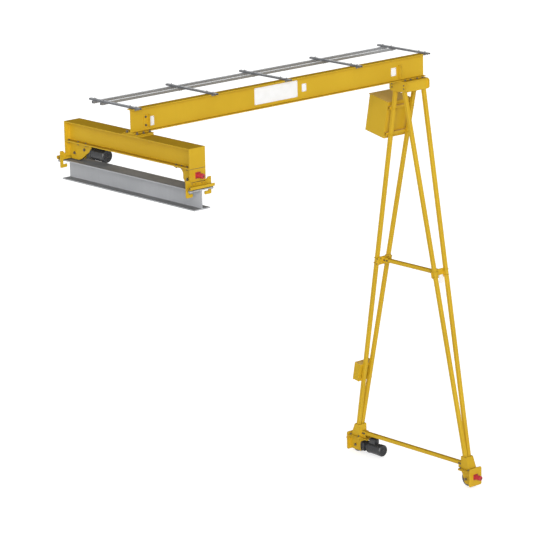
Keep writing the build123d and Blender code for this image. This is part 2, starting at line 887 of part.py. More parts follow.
def make_small_box():
    """The small junction box, on two pads against the leg pair."""
    half_x, half_z = small_box_width / 2, small_box_height / 2
    inner = tube_size / 2
    y0 = inner + small_box_pad
    y1 = y0 + small_box_depth - small_box_lid
    box = block(-half_x, half_x, y0, y1, -half_z, half_z)
    box = fillet(box.edges().filter_by(Axis.Y), small_box_corner)
    rim_x, rim_z = half_x + small_box_lid_margin, half_z + small_box_lid_margin
    lid = block(-rim_x, rim_x, y1, y1 + small_box_lid, -rim_z, rim_z)
    box += fillet(lid.edges().filter_by(Axis.Y), small_box_corner)
    for side in (1, -1):
        z0, z1 = sorted((side * half_z, side * (half_z - cabinet_rail_size)))
        box += block(-half_x, half_x, inner, y0, z0, z1)
    return leaning(small_box_center_z, 0) * box


write("runway_beam", make_runway())

write("truck_beam", make_truck_beam())
write("truck_housing_drive", make_truck_housing(drive_side_face(), housing_drive_inboard))
idle_housing = make_truck_housing(idle_side_face(), housing_idle_inboard)
write("truck_housing_idle", mirror(idle_housing, about=Plane.XZ))
truck_wheel = Pos(0, truck_axle_y, axle_z) * make_wheel()
for name, shape in zip(("truck_wheel_drive", "truck_wheel_idle"), both_ends(truck_wheel)):
    write(name, shape)
for name, shape in zip(("hook_plate_rear", "hook_plate_front"), both_ends(make_hook())):
    write(name, shape)
roller_rear, roller_front = both_ends(make_roller())
for name, roller in (("rear", roller_rear), ("front", roller_front)):
    write("guide_roller_" + name + "_out", roller)
    write("guide_roller_" + name + "_in", mirror(roller, about=Plane.YZ))
truck_bumper = make_bumper(truck_end, axle_z + bumper_above_axle)
for name, shape in zip(("truck_bumper_rear", "truck_bumper_front"), both_ends(truck_bumper)):
    write(name, shape)
write("truck_gearbox", make_truck_gearbox())
write("truck_motor", make_truck_motor())

write("bridge_seat_plate", make_seat())
write("bridge_beam", make_bridge())
write("trolley_stop_truck_end", make_stop(stop_left_x, False))
write("trolley_stop_leg_end", make_stop(stop_right_x, True))
write("festoon_arms", make_arms())
write("festoon_tracks", make_tracks())

write("leg_head", make_head())
for name, side_x, side_y in (("leg_tube_rear_in", -1, 1), ("leg_tube_rear_out", 1, 1),
                             ("leg_tube_front_in", -1, -1), ("leg_tube_front_out", 1, -1)):
    write(name, make_leg(side_x, side_y))
bracket = make_bracket()
write("mid_bracket_rear", bracket)
write("mid_bracket_front", mirror_leg(bracket))
write("mid_strut", make_mid_strut())
write("bottom_strut", make_bottom_strut())
foot = make_foot()
write("leg_foot_rear", foot)
write("leg_foot_front", mirror_leg(foot))
write("floor_housing_drive", make_floor_housing(foot_drive_inboard, True))
write("floor_housing_idle", mirror_leg(make_floor_housing(foot_idle_inboard, False)))
floor_wheel = Pos(leg_x, bridge_shift + floor_axle_y, floor_axle_z) * make_wheel()
write("floor_wheel_drive", floor_wheel)
write("floor_wheel_idle", mirror_leg(floor_wheel))
bumper_face = floor_axle_y + foot_side_outboard + housing_plate
bumper_z = foot_z + foot_end_above - foot_end_height / 2
floor_bumper = Pos(leg_x, bridge_shift, 0) * make_bumper(bumper_face, bumper_z)
write("floor_bumper_rear", floor_bumper)
write("floor_bumper_front", mirror_leg(floor_bumper))
write("floor_gearbox", make_floor_gearbox())
write("floor_motor", make_floor_motor())
write("control_cabinet", make_cabinet())
write("cabinet_rails", make_cabinet_rails())
write("small_box", make_small_box())
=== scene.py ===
# %% [markdown]
# # A single-leg gantry crane
# One end of the bridge beam rides on an end truck, and the truck rolls on top of
# a short runway beam. The other end stands on an A-frame leg with two floor
# wheels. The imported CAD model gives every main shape, and this file dresses it:
# paint, steel, rubber, bolts, weld beads, plates and the small parts of the drives.
# Lengths are in metres. X runs along the bridge, Y along the runway, Z up.

# %% Load the fixed frame
import math

import bmesh
import bpy
from mathutils import Matrix, Vector


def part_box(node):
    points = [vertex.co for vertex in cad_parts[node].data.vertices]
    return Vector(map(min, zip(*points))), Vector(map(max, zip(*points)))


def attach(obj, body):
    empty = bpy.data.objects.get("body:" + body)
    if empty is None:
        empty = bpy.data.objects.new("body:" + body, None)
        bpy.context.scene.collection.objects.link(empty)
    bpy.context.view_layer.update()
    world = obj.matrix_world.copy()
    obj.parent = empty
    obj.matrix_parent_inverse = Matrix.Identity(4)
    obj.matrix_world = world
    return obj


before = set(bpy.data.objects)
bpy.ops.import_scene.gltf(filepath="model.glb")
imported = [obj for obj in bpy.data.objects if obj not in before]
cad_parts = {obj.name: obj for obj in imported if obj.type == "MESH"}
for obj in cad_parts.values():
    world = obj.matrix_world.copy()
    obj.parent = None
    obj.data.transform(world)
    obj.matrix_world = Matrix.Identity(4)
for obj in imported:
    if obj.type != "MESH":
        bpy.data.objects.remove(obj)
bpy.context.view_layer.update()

# %% [markdown]
# ## Camera
# The photograph is taken from far away with a long lens, so parallel edges stay
# nearly parallel. The place, the lens and the small roll were worked out from
# the crane's own corners, so the camera is given by plain numbers.

# %% Camera
CAMERA_PLACE = Vector((-22.657, -28.175, 8.388))
CAMERA_HEADING, CAMERA_DOWN, CAMERA_ROLL = 48.3889, 14.7924, -1.1878
CAMERA_LENS, SENSOR_WIDTH, CAMERA_REACH = 192.95, 36.0, 500


def new_object(name, data):
    """An object that shows its data in the scene."""
    made = bpy.data.objects.new(name, data)
    bpy.context.scene.collection.objects.link(made)
    return made


def add_camera():
    """The camera of the photograph."""
    data = bpy.data.cameras.new("camera")
    data.lens = CAMERA_LENS
    data.sensor_fit = "HORIZONTAL"
    data.sensor_width = SENSOR_WIDTH
    data.clip_end = CAMERA_REACH
    camera = new_object("camera", data)
    heading, down = math.radians(CAMERA_HEADING), math.radians(CAMERA_DOWN)
    look = Vector((math.cos(heading) * math.cos(down),
                   math.sin(heading) * math.cos(down), -math.sin(down)))
    level = look.to_track_quat("-Z", "Y").to_matrix().to_4x4()
    roll = Matrix.Rotation(math.radians(CAMERA_ROLL), 4, "Z")
    camera.matrix_world = Matrix.Translation(CAMERA_PLACE) @ level @ roll
    bpy.context.scene.camera = camera
    return camera


camera = add_camera()
print("camera lens", camera.data.lens, "mm")

# %% [markdown]
# ## Nodes in few words
# A material is a tree of nodes. A few short helpers make a node, set its values
# and link its inputs, so that each finish below reads like a recipe.

# %% Helpers that make nodes
FLOAT, VECTOR = "NodeSocketFloat", "NodeSocketVector"
GEOMETRY, MATERIAL = "NodeSocketGeometry", "NodeSocketMaterial"
MIX_SHARE, MIX_FIRST, MIX_SECOND, MIX_RESULT = 0, 6, 7, 2


def fill(tree, target, inputs):
    """Gives each input a constant, or links it to another node's output."""
    for key, value in inputs.items():
        if isinstance(value, bpy.types.NodeSocket):
            tree.links.new(value, target.inputs[key])
        else:
            target.inputs[key].default_value = value


def node(tree, kind, inputs=None, **settings):
    """One node with its settings and its inputs."""
    made = tree.nodes.new(kind)
    for name, value in settings.items():
        setattr(made, name, value)
    fill(tree, made, inputs or {})
    return made


def shader(tree, kind, inputs=None, output=0, **settings):
    """An output of a new shader node."""
    return node(tree, "ShaderNode" + kind, inputs, **settings).outputs[output]


def geometry(tree, kind, inputs=None, output=0, **settings):
    """An output of a new geometry node."""
    return node(tree, "GeometryNode" + kind, inputs, **settings).outputs[output]


def maths(tree, operation, a, b, clamp=False):
    """One sum, product or quotient of two values."""
    return shader(tree, "Math", {0: a, 1: b}, operation=operation, use_clamp=clamp)


def times(tree, a, b):
    """The product of two values."""
    return maths(tree, "MULTIPLY", a, b)


def spread(tree, value, low, high, out_low=0.0, out_high=1.0):
    """Maps a value from low..high to out_low..out_high, and clamps it."""
    return shader(tree, "MapRange", {0: value, 1: low, 2: high, 3: out_low, 4: out_high})


def blend_colours(tree, share, first, second):
    """Mixes two colours by a share."""
    return shader(tree, "Mix", {MIX_SHARE: share, MIX_FIRST: first, MIX_SECOND: second},
                  MIX_RESULT, data_type="RGBA")


def object_place(tree):
    """Coordinates that stay with the object."""
    return shader(tree, "TexCoord", output="Object")


def noise(tree, **inputs):
    """The value of a noise. It follows the object unless a Vector is given."""
    if "Vector" not in inputs:
        inputs["Vector"] = object_place(tree)
    return shader(tree, "TexNoise", inputs, "Fac")


def new_tree(kind, name, inputs, outputs):
    """An empty tree. An input is a default number or a kind of socket."""
    tree = bpy.data.node_groups.new(name, kind)
    for label, given in inputs.items():
        plain = not isinstance(given, str)
        socket = tree.interface.new_socket(
            label, in_out="INPUT", socket_type=FLOAT if plain else given)
        if plain:
            socket.default_value = given
    for label, given in outputs.items():
        tree.interface.new_socket(label, in_out="OUTPUT", socket_type=given)
    return tree, tree.nodes.new("NodeGroupInput").outputs, tree.nodes.new("NodeGroupOutput")


# %% [markdown]
# ## Wear, mottling, dust and painted top shade
# Handled steel loses paint at its corners first, and its colour is never quite even.
# What faces up gets a colour of its own: dust on the motors and the cabinet, and
# painted shade that makes the tops of the yellow and grey steel darker. Each effect
# is one node group, so every finish can use it with its own values. The edge group
# compares the true normal with a rounded one: where they differ, there is a corner.
# Each range below gives the raw values that count as none and as all of an effect.

# %% Shared effects as node groups
CORNER_RANGE, CHIP_RANGE, WEAR_PUSH = (0.03, 0.28), (0.62, 0.68), 0.3
CLOUD_RANGE, STREAK_RANGE, STREAK_STRETCH = (0.3, 0.7), (0.52, 0.74), (14.0, 14.0, 0.7)
FACING_UP_RANGE, TOP_PATCH_RANGE, TOP_PATCH_SHARES = (0.55, 0.95), (0.25, 0.7), (0.72, 1.0)


def make_edge_group():
    """A mask of worn corners, and the normal that rounds them."""
    tree, source, result = new_tree(
        "ShaderNodeTree", "corner_wear", {"Width": 0.004, "Wear": 0.5, "Scale": 9.0},
        {"Mask": FLOAT, "Normal": VECTOR})
    true_normal = shader(tree, "NewGeometry", output="Normal")
    rounded = shader(tree, "Bevel", {"Radius": source["Width"]}, samples=6)
    same = shader(tree, "VectorMath", {0: rounded, 1: true_normal}, "Value",
                  operation="DOT_PRODUCT")
    corner = spread(tree, maths(tree, "SUBTRACT", 1.0, same), *CORNER_RANGE)
    patches = noise(tree, Scale=source["Scale"], Detail=8.0, Roughness=0.62)
    chipped = maths(tree, "ADD", patches, times(tree, source["Wear"], WEAR_PUSH))
    mask = maths(tree, "MULTIPLY", corner, spread(tree, chipped, *CHIP_RANGE), clamp=True)
    fill(tree, result, {"Mask": mask, "Normal": rounded})
    return tree


def make_mottle_group():
    """Broad clouds, a fine grain and the streaks where rain ran down."""
    tree, source, result = new_tree(
        "ShaderNodeTree", "mottling", {"Broad": 1.3, "Fine": 60.0},
        {"Clouds": FLOAT, "Grain": FLOAT, "Streaks": FLOAT})
    clouds = noise(tree, Scale=source["Broad"], Detail=4.0, Roughness=0.55)
    grain = noise(tree, Scale=source["Fine"], Detail=3.0)
    drawn = shader(tree, "Mapping", {"Vector": object_place(tree), "Scale": STREAK_STRETCH})
    streaks = noise(tree, Vector=drawn, Scale=1.6, Detail=5.0, Roughness=0.6)
    fill(tree, result, {"Clouds": spread(tree, clouds, *CLOUD_RANGE), "Grain": grain,
                        "Streaks": spread(tree, streaks, *STREAK_RANGE)})
    return tree


def make_dust_and_top_shade_group():
    """A patchy mask on what faces up: dust, and painted shade on the tops."""
    tree, source, result = new_tree(
        "ShaderNodeTree", "dust_and_painted_top_shade", {"Cover": 0.8}, {"Mask": FLOAT})
    # What faces up gets the top colour: dust, and painted shade on the tops.
    up = shader(tree, "SeparateXYZ", {0: shader(tree, "NewGeometry", output="Normal")}, "Z")
    top_patches = noise(tree, Scale=5.0, Detail=6.0, Roughness=0.6)
    facing_up_share = times(tree, spread(tree, up, *FACING_UP_RANGE),
                  spread(tree, top_patches, *TOP_PATCH_RANGE, *TOP_PATCH_SHARES))
    fill(tree, result, {"Mask": maths(tree, "MULTIPLY", facing_up_share, source["Cover"], clamp=True)})
    return tree


EDGE_GROUP = make_edge_group()
MOTTLE_GROUP = make_mottle_group()
DUST_AND_TOP_SHADE_GROUP = make_dust_and_top_shade_group()
print("groups", [g.name for g in (EDGE_GROUP, MOTTLE_GROUP, DUST_AND_TOP_SHADE_GROUP)])

# %% [markdown]
# ## Painted and bare metal
# Nearly everything here is steel under paint. One function builds such a finish:
# a light and a dark shade of the paint, streaks where rain ran down, a colour on
# top (dust on the motors, painted shade on the yellow and grey steel), worn
# corners, and a faint orange-peel bump. The numbers change from part to part.
# The gloss is a clear coat over a dull base. The coat fades where the top mask is
# strong, so such a top doesn't mirror the sky.

# %% A painted finish
GRAIN_RANGE, GLOSS_BELOW, GLOSS_ABOVE, TOP_MASK_DULLS, COAT_GONE = (0.3, 0.7), 0.05, 0.07, 0.2, 0.3


def grouped(tree, group, **values):
    """The outputs of a shared effect with its own values."""
    made = node(tree, "ShaderNodeGroup", node_tree=group)
    fill(tree, made, values)
    return made.outputs


def new_finish(name):
    """An empty finish: the material, its tree and its shader."""
    material = bpy.data.materials.new(name)
    material.use_nodes = True
    return material, material.node_tree, material.node_tree.nodes["Principled BSDF"]


def bumped(tree, height, depth, strength=0.5, **more):
    """A normal that a height map makes uneven."""
    return shader(tree, "Bump", {"Height": height, "Distance": depth, "Strength": strength, **more})


def painted(name, shade, dark, dust, worn, roughness=0.38, cover=0.85, wear=0.4,
            streaks=0.25, peel=0.00025, width=0.004, coat=0.42):
    """A paint with mottling, streaks, dust and painted shade on top, and worn corners."""
    material, tree, surface = new_finish(name)
    mottle = grouped(tree, MOTTLE_GROUP)
    edges = grouped(tree, EDGE_GROUP, Width=width, Wear=wear)
    # The top mask lays dust on the motors, and painted shade on the yellow and grey tops.
    top_dust_shade_mask = grouped(tree, DUST_AND_TOP_SHADE_GROUP, Cover=cover)["Mask"]
    colour = blend_colours(tree, mottle["Clouds"], dark, shade)
    for share, layer in ((times(tree, mottle["Streaks"], streaks), dark), (top_dust_shade_mask, dust),
                         (edges["Mask"], worn)):
        colour = blend_colours(tree, share, colour, layer)
    gloss = spread(tree, mottle["Grain"], *GRAIN_RANGE, roughness - GLOSS_BELOW,
                   roughness + GLOSS_ABOVE)
    fill(tree, surface, {
        "Base Color": colour,
        "Roughness": maths(tree, "ADD", gloss, times(tree, top_dust_shade_mask, TOP_MASK_DULLS)),
        "Normal": bumped(tree, mottle["Grain"], peel, strength=0.6, Normal=edges["Normal"]),
        "Coat Weight": spread(tree, top_dust_shade_mask, 0.0, COAT_GONE, coat, 0.0),
        "Coat Roughness": roughness, "Specular IOR Level": 0.0})
    return material


# The darker top colour of the crane yellow and of the runway grey is painted shade.
YELLOW = painted(
    "crane_yellow", shade=(0.67, 0.43, 0.022, 1), dark=(0.60, 0.37, 0.016, 1),
    dust=(0.42, 0.25, 0.019, 1), worn=(0.16, 0.13, 0.10, 1), roughness=0.42, cover=1.0)
BOX_YELLOW = painted(
    "cabinet_yellow", shade=(0.67, 0.43, 0.024, 1), dark=(0.61, 0.385, 0.018, 1),
    dust=(0.60, 0.40, 0.12, 1), worn=(0.20, 0.17, 0.13, 1), cover=1.0, wear=0.2, streaks=0.12,
    width=0.003)
RAIL_GREY = painted(
    "runway_steel_grey", shade=(0.50, 0.51, 0.53, 1), dark=(0.41, 0.42, 0.435, 1),
    dust=(0.22, 0.22, 0.22, 1), worn=(0.55, 0.54, 0.53, 1), roughness=0.5, cover=1.0, wear=0.7,
    streaks=0.4, peel=0.0006)
MOTOR_GREY = painted(
    "motor_charcoal", shade=(0.034, 0.035, 0.039, 1), dark=(0.022, 0.023, 0.026, 1),
    dust=(0.052, 0.051, 0.049, 1), worn=(0.20, 0.195, 0.19, 1), roughness=0.22, cover=0.65,
    wear=0.25, width=0.002, coat=0.9)
GEAR_GREY = painted(
    "gearbox_charcoal", shade=(0.038, 0.039, 0.043, 1), dark=(0.025, 0.026, 0.029, 1),
    dust=(0.06, 0.058, 0.056, 1), worn=(0.20, 0.195, 0.19, 1), roughness=0.36, cover=0.9, wear=0.35,
    peel=0.0009, width=0.003, coat=0.6)
print("paints made:", len(bpy.data.materials))

# %% [markdown]
# ## Galvanised, cast and plated steel
# The arms and the tracks are galvanised, which leaves flat crystals a few
# millimetres wide. The wheels and rollers have the fine grain of worked iron,
# and the bolts are bright or blackened zinc. These finishes are metallic.

# %% Metal finishes
GRIME_RANGE, GRIME_SHARE, DULLER, BRIGHTER = (0.5, 0.75), 0.5, 0.08, 0.06


def metal(name, shade, dark, roughness, scale, depth, crystals=False, metallic=0.85):
    """A bare or plated metal, with crystals or a fine grain."""
    material, tree, surface = new_finish(name)
    edges = grouped(tree, EDGE_GROUP, Width=0.0015, Wear=0.6)
    if crystals:
        cells = shader(tree, "TexVoronoi", {"Vector": object_place(tree), "Scale": scale}, "Color")
        value = shader(tree, "SeparateColor", {0: cells}, "Red")
    else:
        value = noise(tree, Scale=scale, Detail=6.0)
    grime = spread(tree, noise(tree, Scale=3.0, Detail=5.0), *GRIME_RANGE, 0.0, GRIME_SHARE)
    colour = blend_colours(tree, value, dark, shade)
    fill(tree, surface, {
        "Base Color": blend_colours(tree, grime, colour, dark),
        "Roughness": spread(tree, value, 0.0, 1.0, roughness + DULLER, roughness - BRIGHTER),
        "Normal": bumped(tree, value, depth, Normal=edges["Normal"]),
        "Metallic": metallic})
    return material


GALVANISED = metal(
    "galvanised_crystals", shade=(0.38, 0.39, 0.40, 1), dark=(0.25, 0.255, 0.265, 1),
    roughness=0.44, scale=160.0, depth=0.0002, crystals=True, metallic=0.55)
DULL_GALVANISED = metal(
    "dull_galvanised", shade=(0.20, 0.205, 0.215, 1), dark=(0.13, 0.135, 0.145, 1), roughness=0.5,
    scale=120.0, depth=0.0002, crystals=True, metallic=0.5)
WHEEL_IRON = metal(
    "turned_wheel_iron", shade=(0.25, 0.25, 0.26, 1), dark=(0.15, 0.15, 0.155, 1), roughness=0.42,
    scale=45.0, depth=0.0006, metallic=0.6)
ROLLER_STEEL = metal(
    "turned_roller_steel", shade=(0.42, 0.43, 0.45, 1), dark=(0.26, 0.27, 0.29, 1), roughness=0.3,
    scale=90.0, depth=0.0002)
ZINC = metal(
    "zinc_plated_bolts", shade=(0.40, 0.40, 0.41, 1), dark=(0.24, 0.24, 0.25, 1), roughness=0.34,
    scale=120.0, depth=0.0002, metallic=0.75)
DARK_BOLT = metal(
    "blackened_bolts", shade=(0.18, 0.145, 0.095, 1), dark=(0.09, 0.072, 0.05, 1), roughness=0.42,
    scale=120.0, depth=0.0003, metallic=0.5)
print("finishes so far:", len(bpy.data.materials))

# %% [markdown]
# ## Rubber and plates
# The bumpers are moulded red rubber with a dull skin. The bare plates on the
# bridge are smooth white sheet: the real ones carry print, which stays off here.

# %% Rubber and white sheet
SHADE_RANGE = (0.35, 0.65)


def plain_skin(name, shade, dark, roughness, scale, depth, specular=0.5):
    """Rubber or enamel: two near shades, a soft bump and an uneven gloss."""
    material, tree, surface = new_finish(name)
    grain = noise(tree, Scale=scale, Detail=7.0)
    broad = spread(tree, noise(tree, Scale=9.0, Detail=3.0), *SHADE_RANGE)
    fill(tree, surface, {
        "Base Color": blend_colours(tree, broad, dark, shade),
        "Roughness": spread(tree, grain, *GRAIN_RANGE, roughness - BRIGHTER, roughness + DULLER),
        "Normal": bumped(tree, grain, depth), "Specular IOR Level": specular})
    return material


RED_RUBBER = plain_skin(
    "red_rubber", shade=(0.56, 0.035, 0.055, 1), dark=(0.42, 0.022, 0.038, 1), roughness=0.55,
    scale=130.0, depth=0.0004, specular=0.4)
WHITE_SHEET = plain_skin(
    "white_sheet", shade=(0.93, 0.93, 0.93, 1), dark=(0.89, 0.89, 0.88, 1), roughness=0.32,
    scale=200.0, depth=0.0001)
BLACK_PLASTIC = plain_skin(
    "black_moulding", shade=(0.03, 0.03, 0.032, 1), dark=(0.018, 0.018, 0.02, 1), roughness=0.45,
    scale=160.0, depth=0.0003)
print("materials:", sorted(m.name for m in bpy.data.materials))

# %% [markdown]
# ## Dressing the CAD shapes
# Every CAD node names a material slot in its record. The finish replaces the
# flat colour in that slot, and neither the place nor the mesh changes. The festoon
# arms are the one node with a finish of its own: a darker, duller galvanised steel.

# %% Finishes for the CAD nodes
SLOT_FINISH = {
    "yellow_paint": YELLOW, "runway_grey": RAIL_GREY, "galvanised_steel": GALVANISED,
    "cabinet_paint": BOX_YELLOW, "gearbox_paint": GEAR_GREY, "motor_paint": MOTOR_GREY,
    "wheel_steel": WHEEL_IRON, "roller_steel": ROLLER_STEEL, "red_rubber": RED_RUBBER,
}
NODE_FINISH = {"festoon_arms": DULL_GALVANISED}
for node_name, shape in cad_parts.items():
    for place in shape.material_slots:
        slot = place.material.name.split(".")[0]
        place.material = NODE_FINISH.get(node_name, SLOT_FINISH[slot])
print("dressed", len(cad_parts), "nodes")

# %% [markdown]
# ## Where things are
# A small piece sits where the CAD says, so its place comes from the box of the
# node that carries it. `Span` gives the six sides of that box by name. What a box
# doesn't tell, such as a plate's thickness, is repeated here from the CAD source.


# %% Reading places from the frame
class Span:
    """The box of a CAD node: x0, x1, y0, y1, z0, z1 and its middle."""

    def __init__(self, name):
        low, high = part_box(name)
        self.x0, self.y0, self.z0 = low
        self.x1, self.y1, self.z1 = high
        self.x, self.y, self.z = (low + high) / 2


RUNWAY, TRUCK, SEAT = Span("runway_beam"), Span("truck_beam"), Span("bridge_seat_plate")
BRIDGE, HEAD, FOOT = Span("bridge_beam"), Span("leg_head"), Span("leg_foot_rear")
TRUCK_MOTOR, FLOOR_MOTOR = Span("truck_motor"), Span("floor_motor")
UP, DOWN = Vector((0, 0, 1)), Vector((0, 0, -1))
EAST, WEST = Vector((1, 0, 0)), Vector((-1, 0, 0))
NORTH, SOUTH = Vector((0, 1, 0)), Vector((0, -1, 0))
X_SIDES, Y_SIDES = ((-1, WEST), (1, EAST)), ((-1, SOUTH), (1, NORTH))
PLATE, END_PLATE, TRUCK_FLANGE, EAR_THICK = 0.012, 0.016, 0.014, 0.008
TRUCK_WEB_X, HOUSING_X, AXLE_X = 0.050, 0.053, 0.061
WEB_HALF, BRIDGE_HALF, BRIDGE_FLANGE = 0.00375, 0.051, 0.006
TUBE_HALF, HEAD_TUBE_X, HEAD_TUBE_Y, FOOT_TUBE_X, FOOT_Y = 0.0254, 0.175, 0.085, 0.0265, 1.072
MOTOR_RADIUS, MOTOR_FACE = 0.0825, 0.246
BRIDGE_Y = SEAT.y
SOLE_TOP = BRIDGE.z0 + PLATE
SHELF_TOP = RUNWAY.z1 + 0.022
print("truck", round(TRUCK.z0, 4), round(TRUCK.z1, 4), "bridge", round(BRIDGE.z1, 4))


def both(middle, reach):
    """Two values, a reach below and above a middle."""
    return middle - reach, middle + reach


# %% [markdown]
# ## Hexagon bolts with Geometry Nodes
# The crane is bolted together with a few sizes of hexagon screws, well over a
# hundred of them. One tree builds a head with a turned chamfer, its washer and a
# stud end, puts a copy on every point, and turns it along that point's axis.
# A stud length just below nothing hides the end inside the head, as on a screw.
# The points are worked out from the CAD boxes. The copies become real faces at
# the end of the tree, because an export keeps no instances.

# %% The bolt tree
HEAD_SHARE, CROWN_TOP_SHARE, CROWN_FOOT_SHARE, STUD_SHARE = 0.86, 0.42, 0.5, 0.3


def shape_tree(name, sizes):
    """A geometry tree with a mesh input, named sizes and a material input."""
    return new_tree("GeometryNodeTree", name,
                    {"Geometry": GEOMETRY, **sizes, "Material": MATERIAL}, {"Geometry": GEOMETRY})


def moved(tree, mesh, **offset):
    """Moves a mesh by X, Y or Z."""
    return geometry(tree, "Transform", {
        "Geometry": mesh, "Translation": shader(tree, "CombineXYZ", offset)})


def disc(tree, base, height, radius, sides):
    """A round or many-sided disc that stands on a base height."""
    made = geometry(tree, "MeshCylinder", {"Vertices": sides, "Radius": radius, "Depth": height})
    return moved(tree, made, Z=maths(tree, "ADD", base, maths(tree, "DIVIDE", height, 2.0)))


def attribute(tree, name, kind):
    """A value that each point carries."""
    return geometry(tree, "InputNamedAttribute", {"Name": name}, "Attribute", data_type=kind)


def on_points(tree, source, copy, **more):
    """A copy on each point of the input, turned along that point's axis."""
    turn = node(tree, "FunctionNodeAlignRotationToVector",
                {"Vector": attribute(tree, "axis", "FLOAT_VECTOR")}, axis="Z").outputs[0]
    return geometry(tree, "InstanceOnPoints", {
        "Points": source["Geometry"], "Instance": copy, "Rotation": turn, **more})


def joined(tree, parts):
    """Several meshes as one."""
    join = node(tree, "GeometryNodeJoinGeometry")
    for part in parts:
        tree.links.new(part, join.inputs[0])
    return join.outputs[0]


def finish_tree(tree, source, result, mesh):
    """Ends a tree with real faces and its material."""
    real = geometry(tree, "RealizeInstances", {"Geometry": mesh})
    done = geometry(tree, "SetMaterial", {"Geometry": real, "Material": source["Material"]})
    fill(tree, result, {"Geometry": done})
    return tree


def make_bolt_tree():
    """A washer, a hexagon, its chamfered crown and the stud's end."""
    tree, source, result = shape_tree("hexagon_bolts", {
        "Across Flats": 0.024, "Head Height": 0.010, "Washer": 0.032, "Washer Height": 0.003,
        "Stud": -0.001})
    flats, head, rise = source["Across Flats"], source["Head Height"], source["Washer Height"]
    block = times(tree, head, HEAD_SHARE)
    washer = disc(tree, 0.0, rise, maths(tree, "DIVIDE", source["Washer"], 2.0), sides=20)
    hexagon = disc(tree, rise, block, maths(tree, "DIVIDE", flats, math.sqrt(3)), sides=6)
    crown = geometry(tree, "MeshCone", {
        "Vertices": 18, "Radius Top": times(tree, flats, CROWN_TOP_SHARE),
        "Radius Bottom": times(tree, flats, CROWN_FOOT_SHARE),
        "Depth": times(tree, head, 1 - HEAD_SHARE)})
    crown = moved(tree, crown, Z=maths(tree, "ADD", rise, block))
    stud = disc(tree, rise, maths(tree, "ADD", head, source["Stud"]),
                times(tree, flats, STUD_SHARE), sides=12)
    bolt = joined(tree, (washer, hexagon, crown, stud))
    return finish_tree(tree, source, result, on_points(
        tree, source, bolt, Scale=attribute(tree, "size", "FLOAT")))


BOLT_TREE = make_bolt_tree()
print("bolt tree has", len(BOLT_TREE.nodes), "nodes")


# %% Running a tree and keeping its plain mesh
def settle(piece):
    """Makes a piece ride on the crane's body."""
    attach(piece, "crane")
    print(piece.name, len(piece.data.polygons), "faces")


def grow(piece, tree, material, slot, **sizes):
    """Runs a tree on a piece and keeps the result as its plain mesh."""
    modifier = piece.modifiers.new("grow", "NODES")
    modifier.node_group = tree
    sizes["Material"] = material
    for item in tree.interface.items_tree:
        if item.in_out == "INPUT" and item.name in sizes:
            modifier[item.identifier] = sizes[item.name]
    depsgraph = bpy.context.evaluated_depsgraph_get()
    mesh = bpy.data.meshes.new_from_object(piece.evaluated_get(depsgraph), depsgraph=depsgraph)
    piece.modifiers.remove(modifier)
    piece.data = mesh
    mesh.name = piece.name
    settle(piece)


def spot(x, y, z, axis, size=1.0):
    """A bolt's place, its axis and its size."""
    return Vector((x, y, z)), axis, size


def spots(xs, ys, zs, axis, size=1.0):
    """A bolt at every crossing of the given x, y and z values."""
    return [spot(x, y, z, axis, size) for x in xs for y in ys for z in zs]


def point_piece(name, places):
    """An object of loose points, each with an axis and a size."""
    mesh = bpy.data.meshes.new(name)
    mesh.from_pydata([place for place, _, _ in places], [], [])
    mesh.attributes.new("axis", "FLOAT_VECTOR", "POINT")
    mesh.attributes.new("size", "FLOAT", "POINT")
    for index, (_, axis, size) in enumerate(places):
        mesh.attributes["axis"].data[index].vector = axis
        mesh.attributes["size"].data[index].value = size
    return new_object(name, mesh)


def bolts(name, places, material=DARK_BOLT, slot="galvanised_steel", **sizes):
    """One object with a bolt at each spot."""
    grow(point_piece(name, places), BOLT_TREE, material, slot, **sizes)


# %% [markdown]
# ## Bolts of the end truck
# Six bolts hold the bridge's sole plate to the seat plate. The wheel housings
# hang from the truck's lower flange, the hook plates are bolted to its ends, and
# each axle is kept by a bolt in its head. The guide rollers' pins end in nuts.

# %% Truck bolts
SEAT_BOLTS_X, SEAT_BOLT_Y = (-0.086, 0.014, 0.114), 0.098
HOUSING_BOLTS = {"truck_housing_drive": (0.05, 0.2, 0.385), "truck_housing_idle": (0.03, 0.13, 0.23)}
HOUSING_BOLT_X, HOOK_BOLTS_X, PIN_X = 0.095, (-0.1, -0.052, 0.052, 0.1), 0.16
GEAR_BOLT_BACK, GEAR_BOLT_RISE, HOOK_BOLT_RISE = 0.19, 0.062, 0.067
AXLE_BOLT = 1.25
bolts("bolts_seat", spots(SEAT_BOLTS_X, both(BRIDGE_Y, SEAT_BOLT_Y), (SOLE_TOP,), UP, 1.15),
      Stud=0.012)

housing_spots = []
for name, steps in HOUSING_BOLTS.items():
    box = Span(name)
    ys = [box.y0 + s if name.endswith("drive") else box.y1 - s for s in steps]
    for z, axis in ((TRUCK.z0 + TRUCK_FLANGE, UP), (TRUCK.z0 - PLATE, DOWN)):
        housing_spots += spots(both(0, HOUSING_BOLT_X), ys, (z,), axis, 0.8)
bolts("bolts_housings", housing_spots, Stud=0.006)


def axle_spots(place):
    """A bolt at both ends of each axle, for the wheels on the truck or on the floor."""
    return [spot(wheel.x + side * AXLE_X, wheel.y, wheel.z, axis, AXLE_BOLT)
            for wheel in (Span(place + "_wheel_drive"), Span(place + "_wheel_idle"))
            for side, axis in X_SIDES]


DRIVE = Span("truck_wheel_drive")
bolts("bolts_axles", axle_spots("truck") + [
    spot(side * HOUSING_X, DRIVE.y - GEAR_BOLT_BACK, DRIVE.z + GEAR_BOLT_RISE, axis, AXLE_BOLT)
    for side, axis in X_SIDES], slot="wheel_steel")

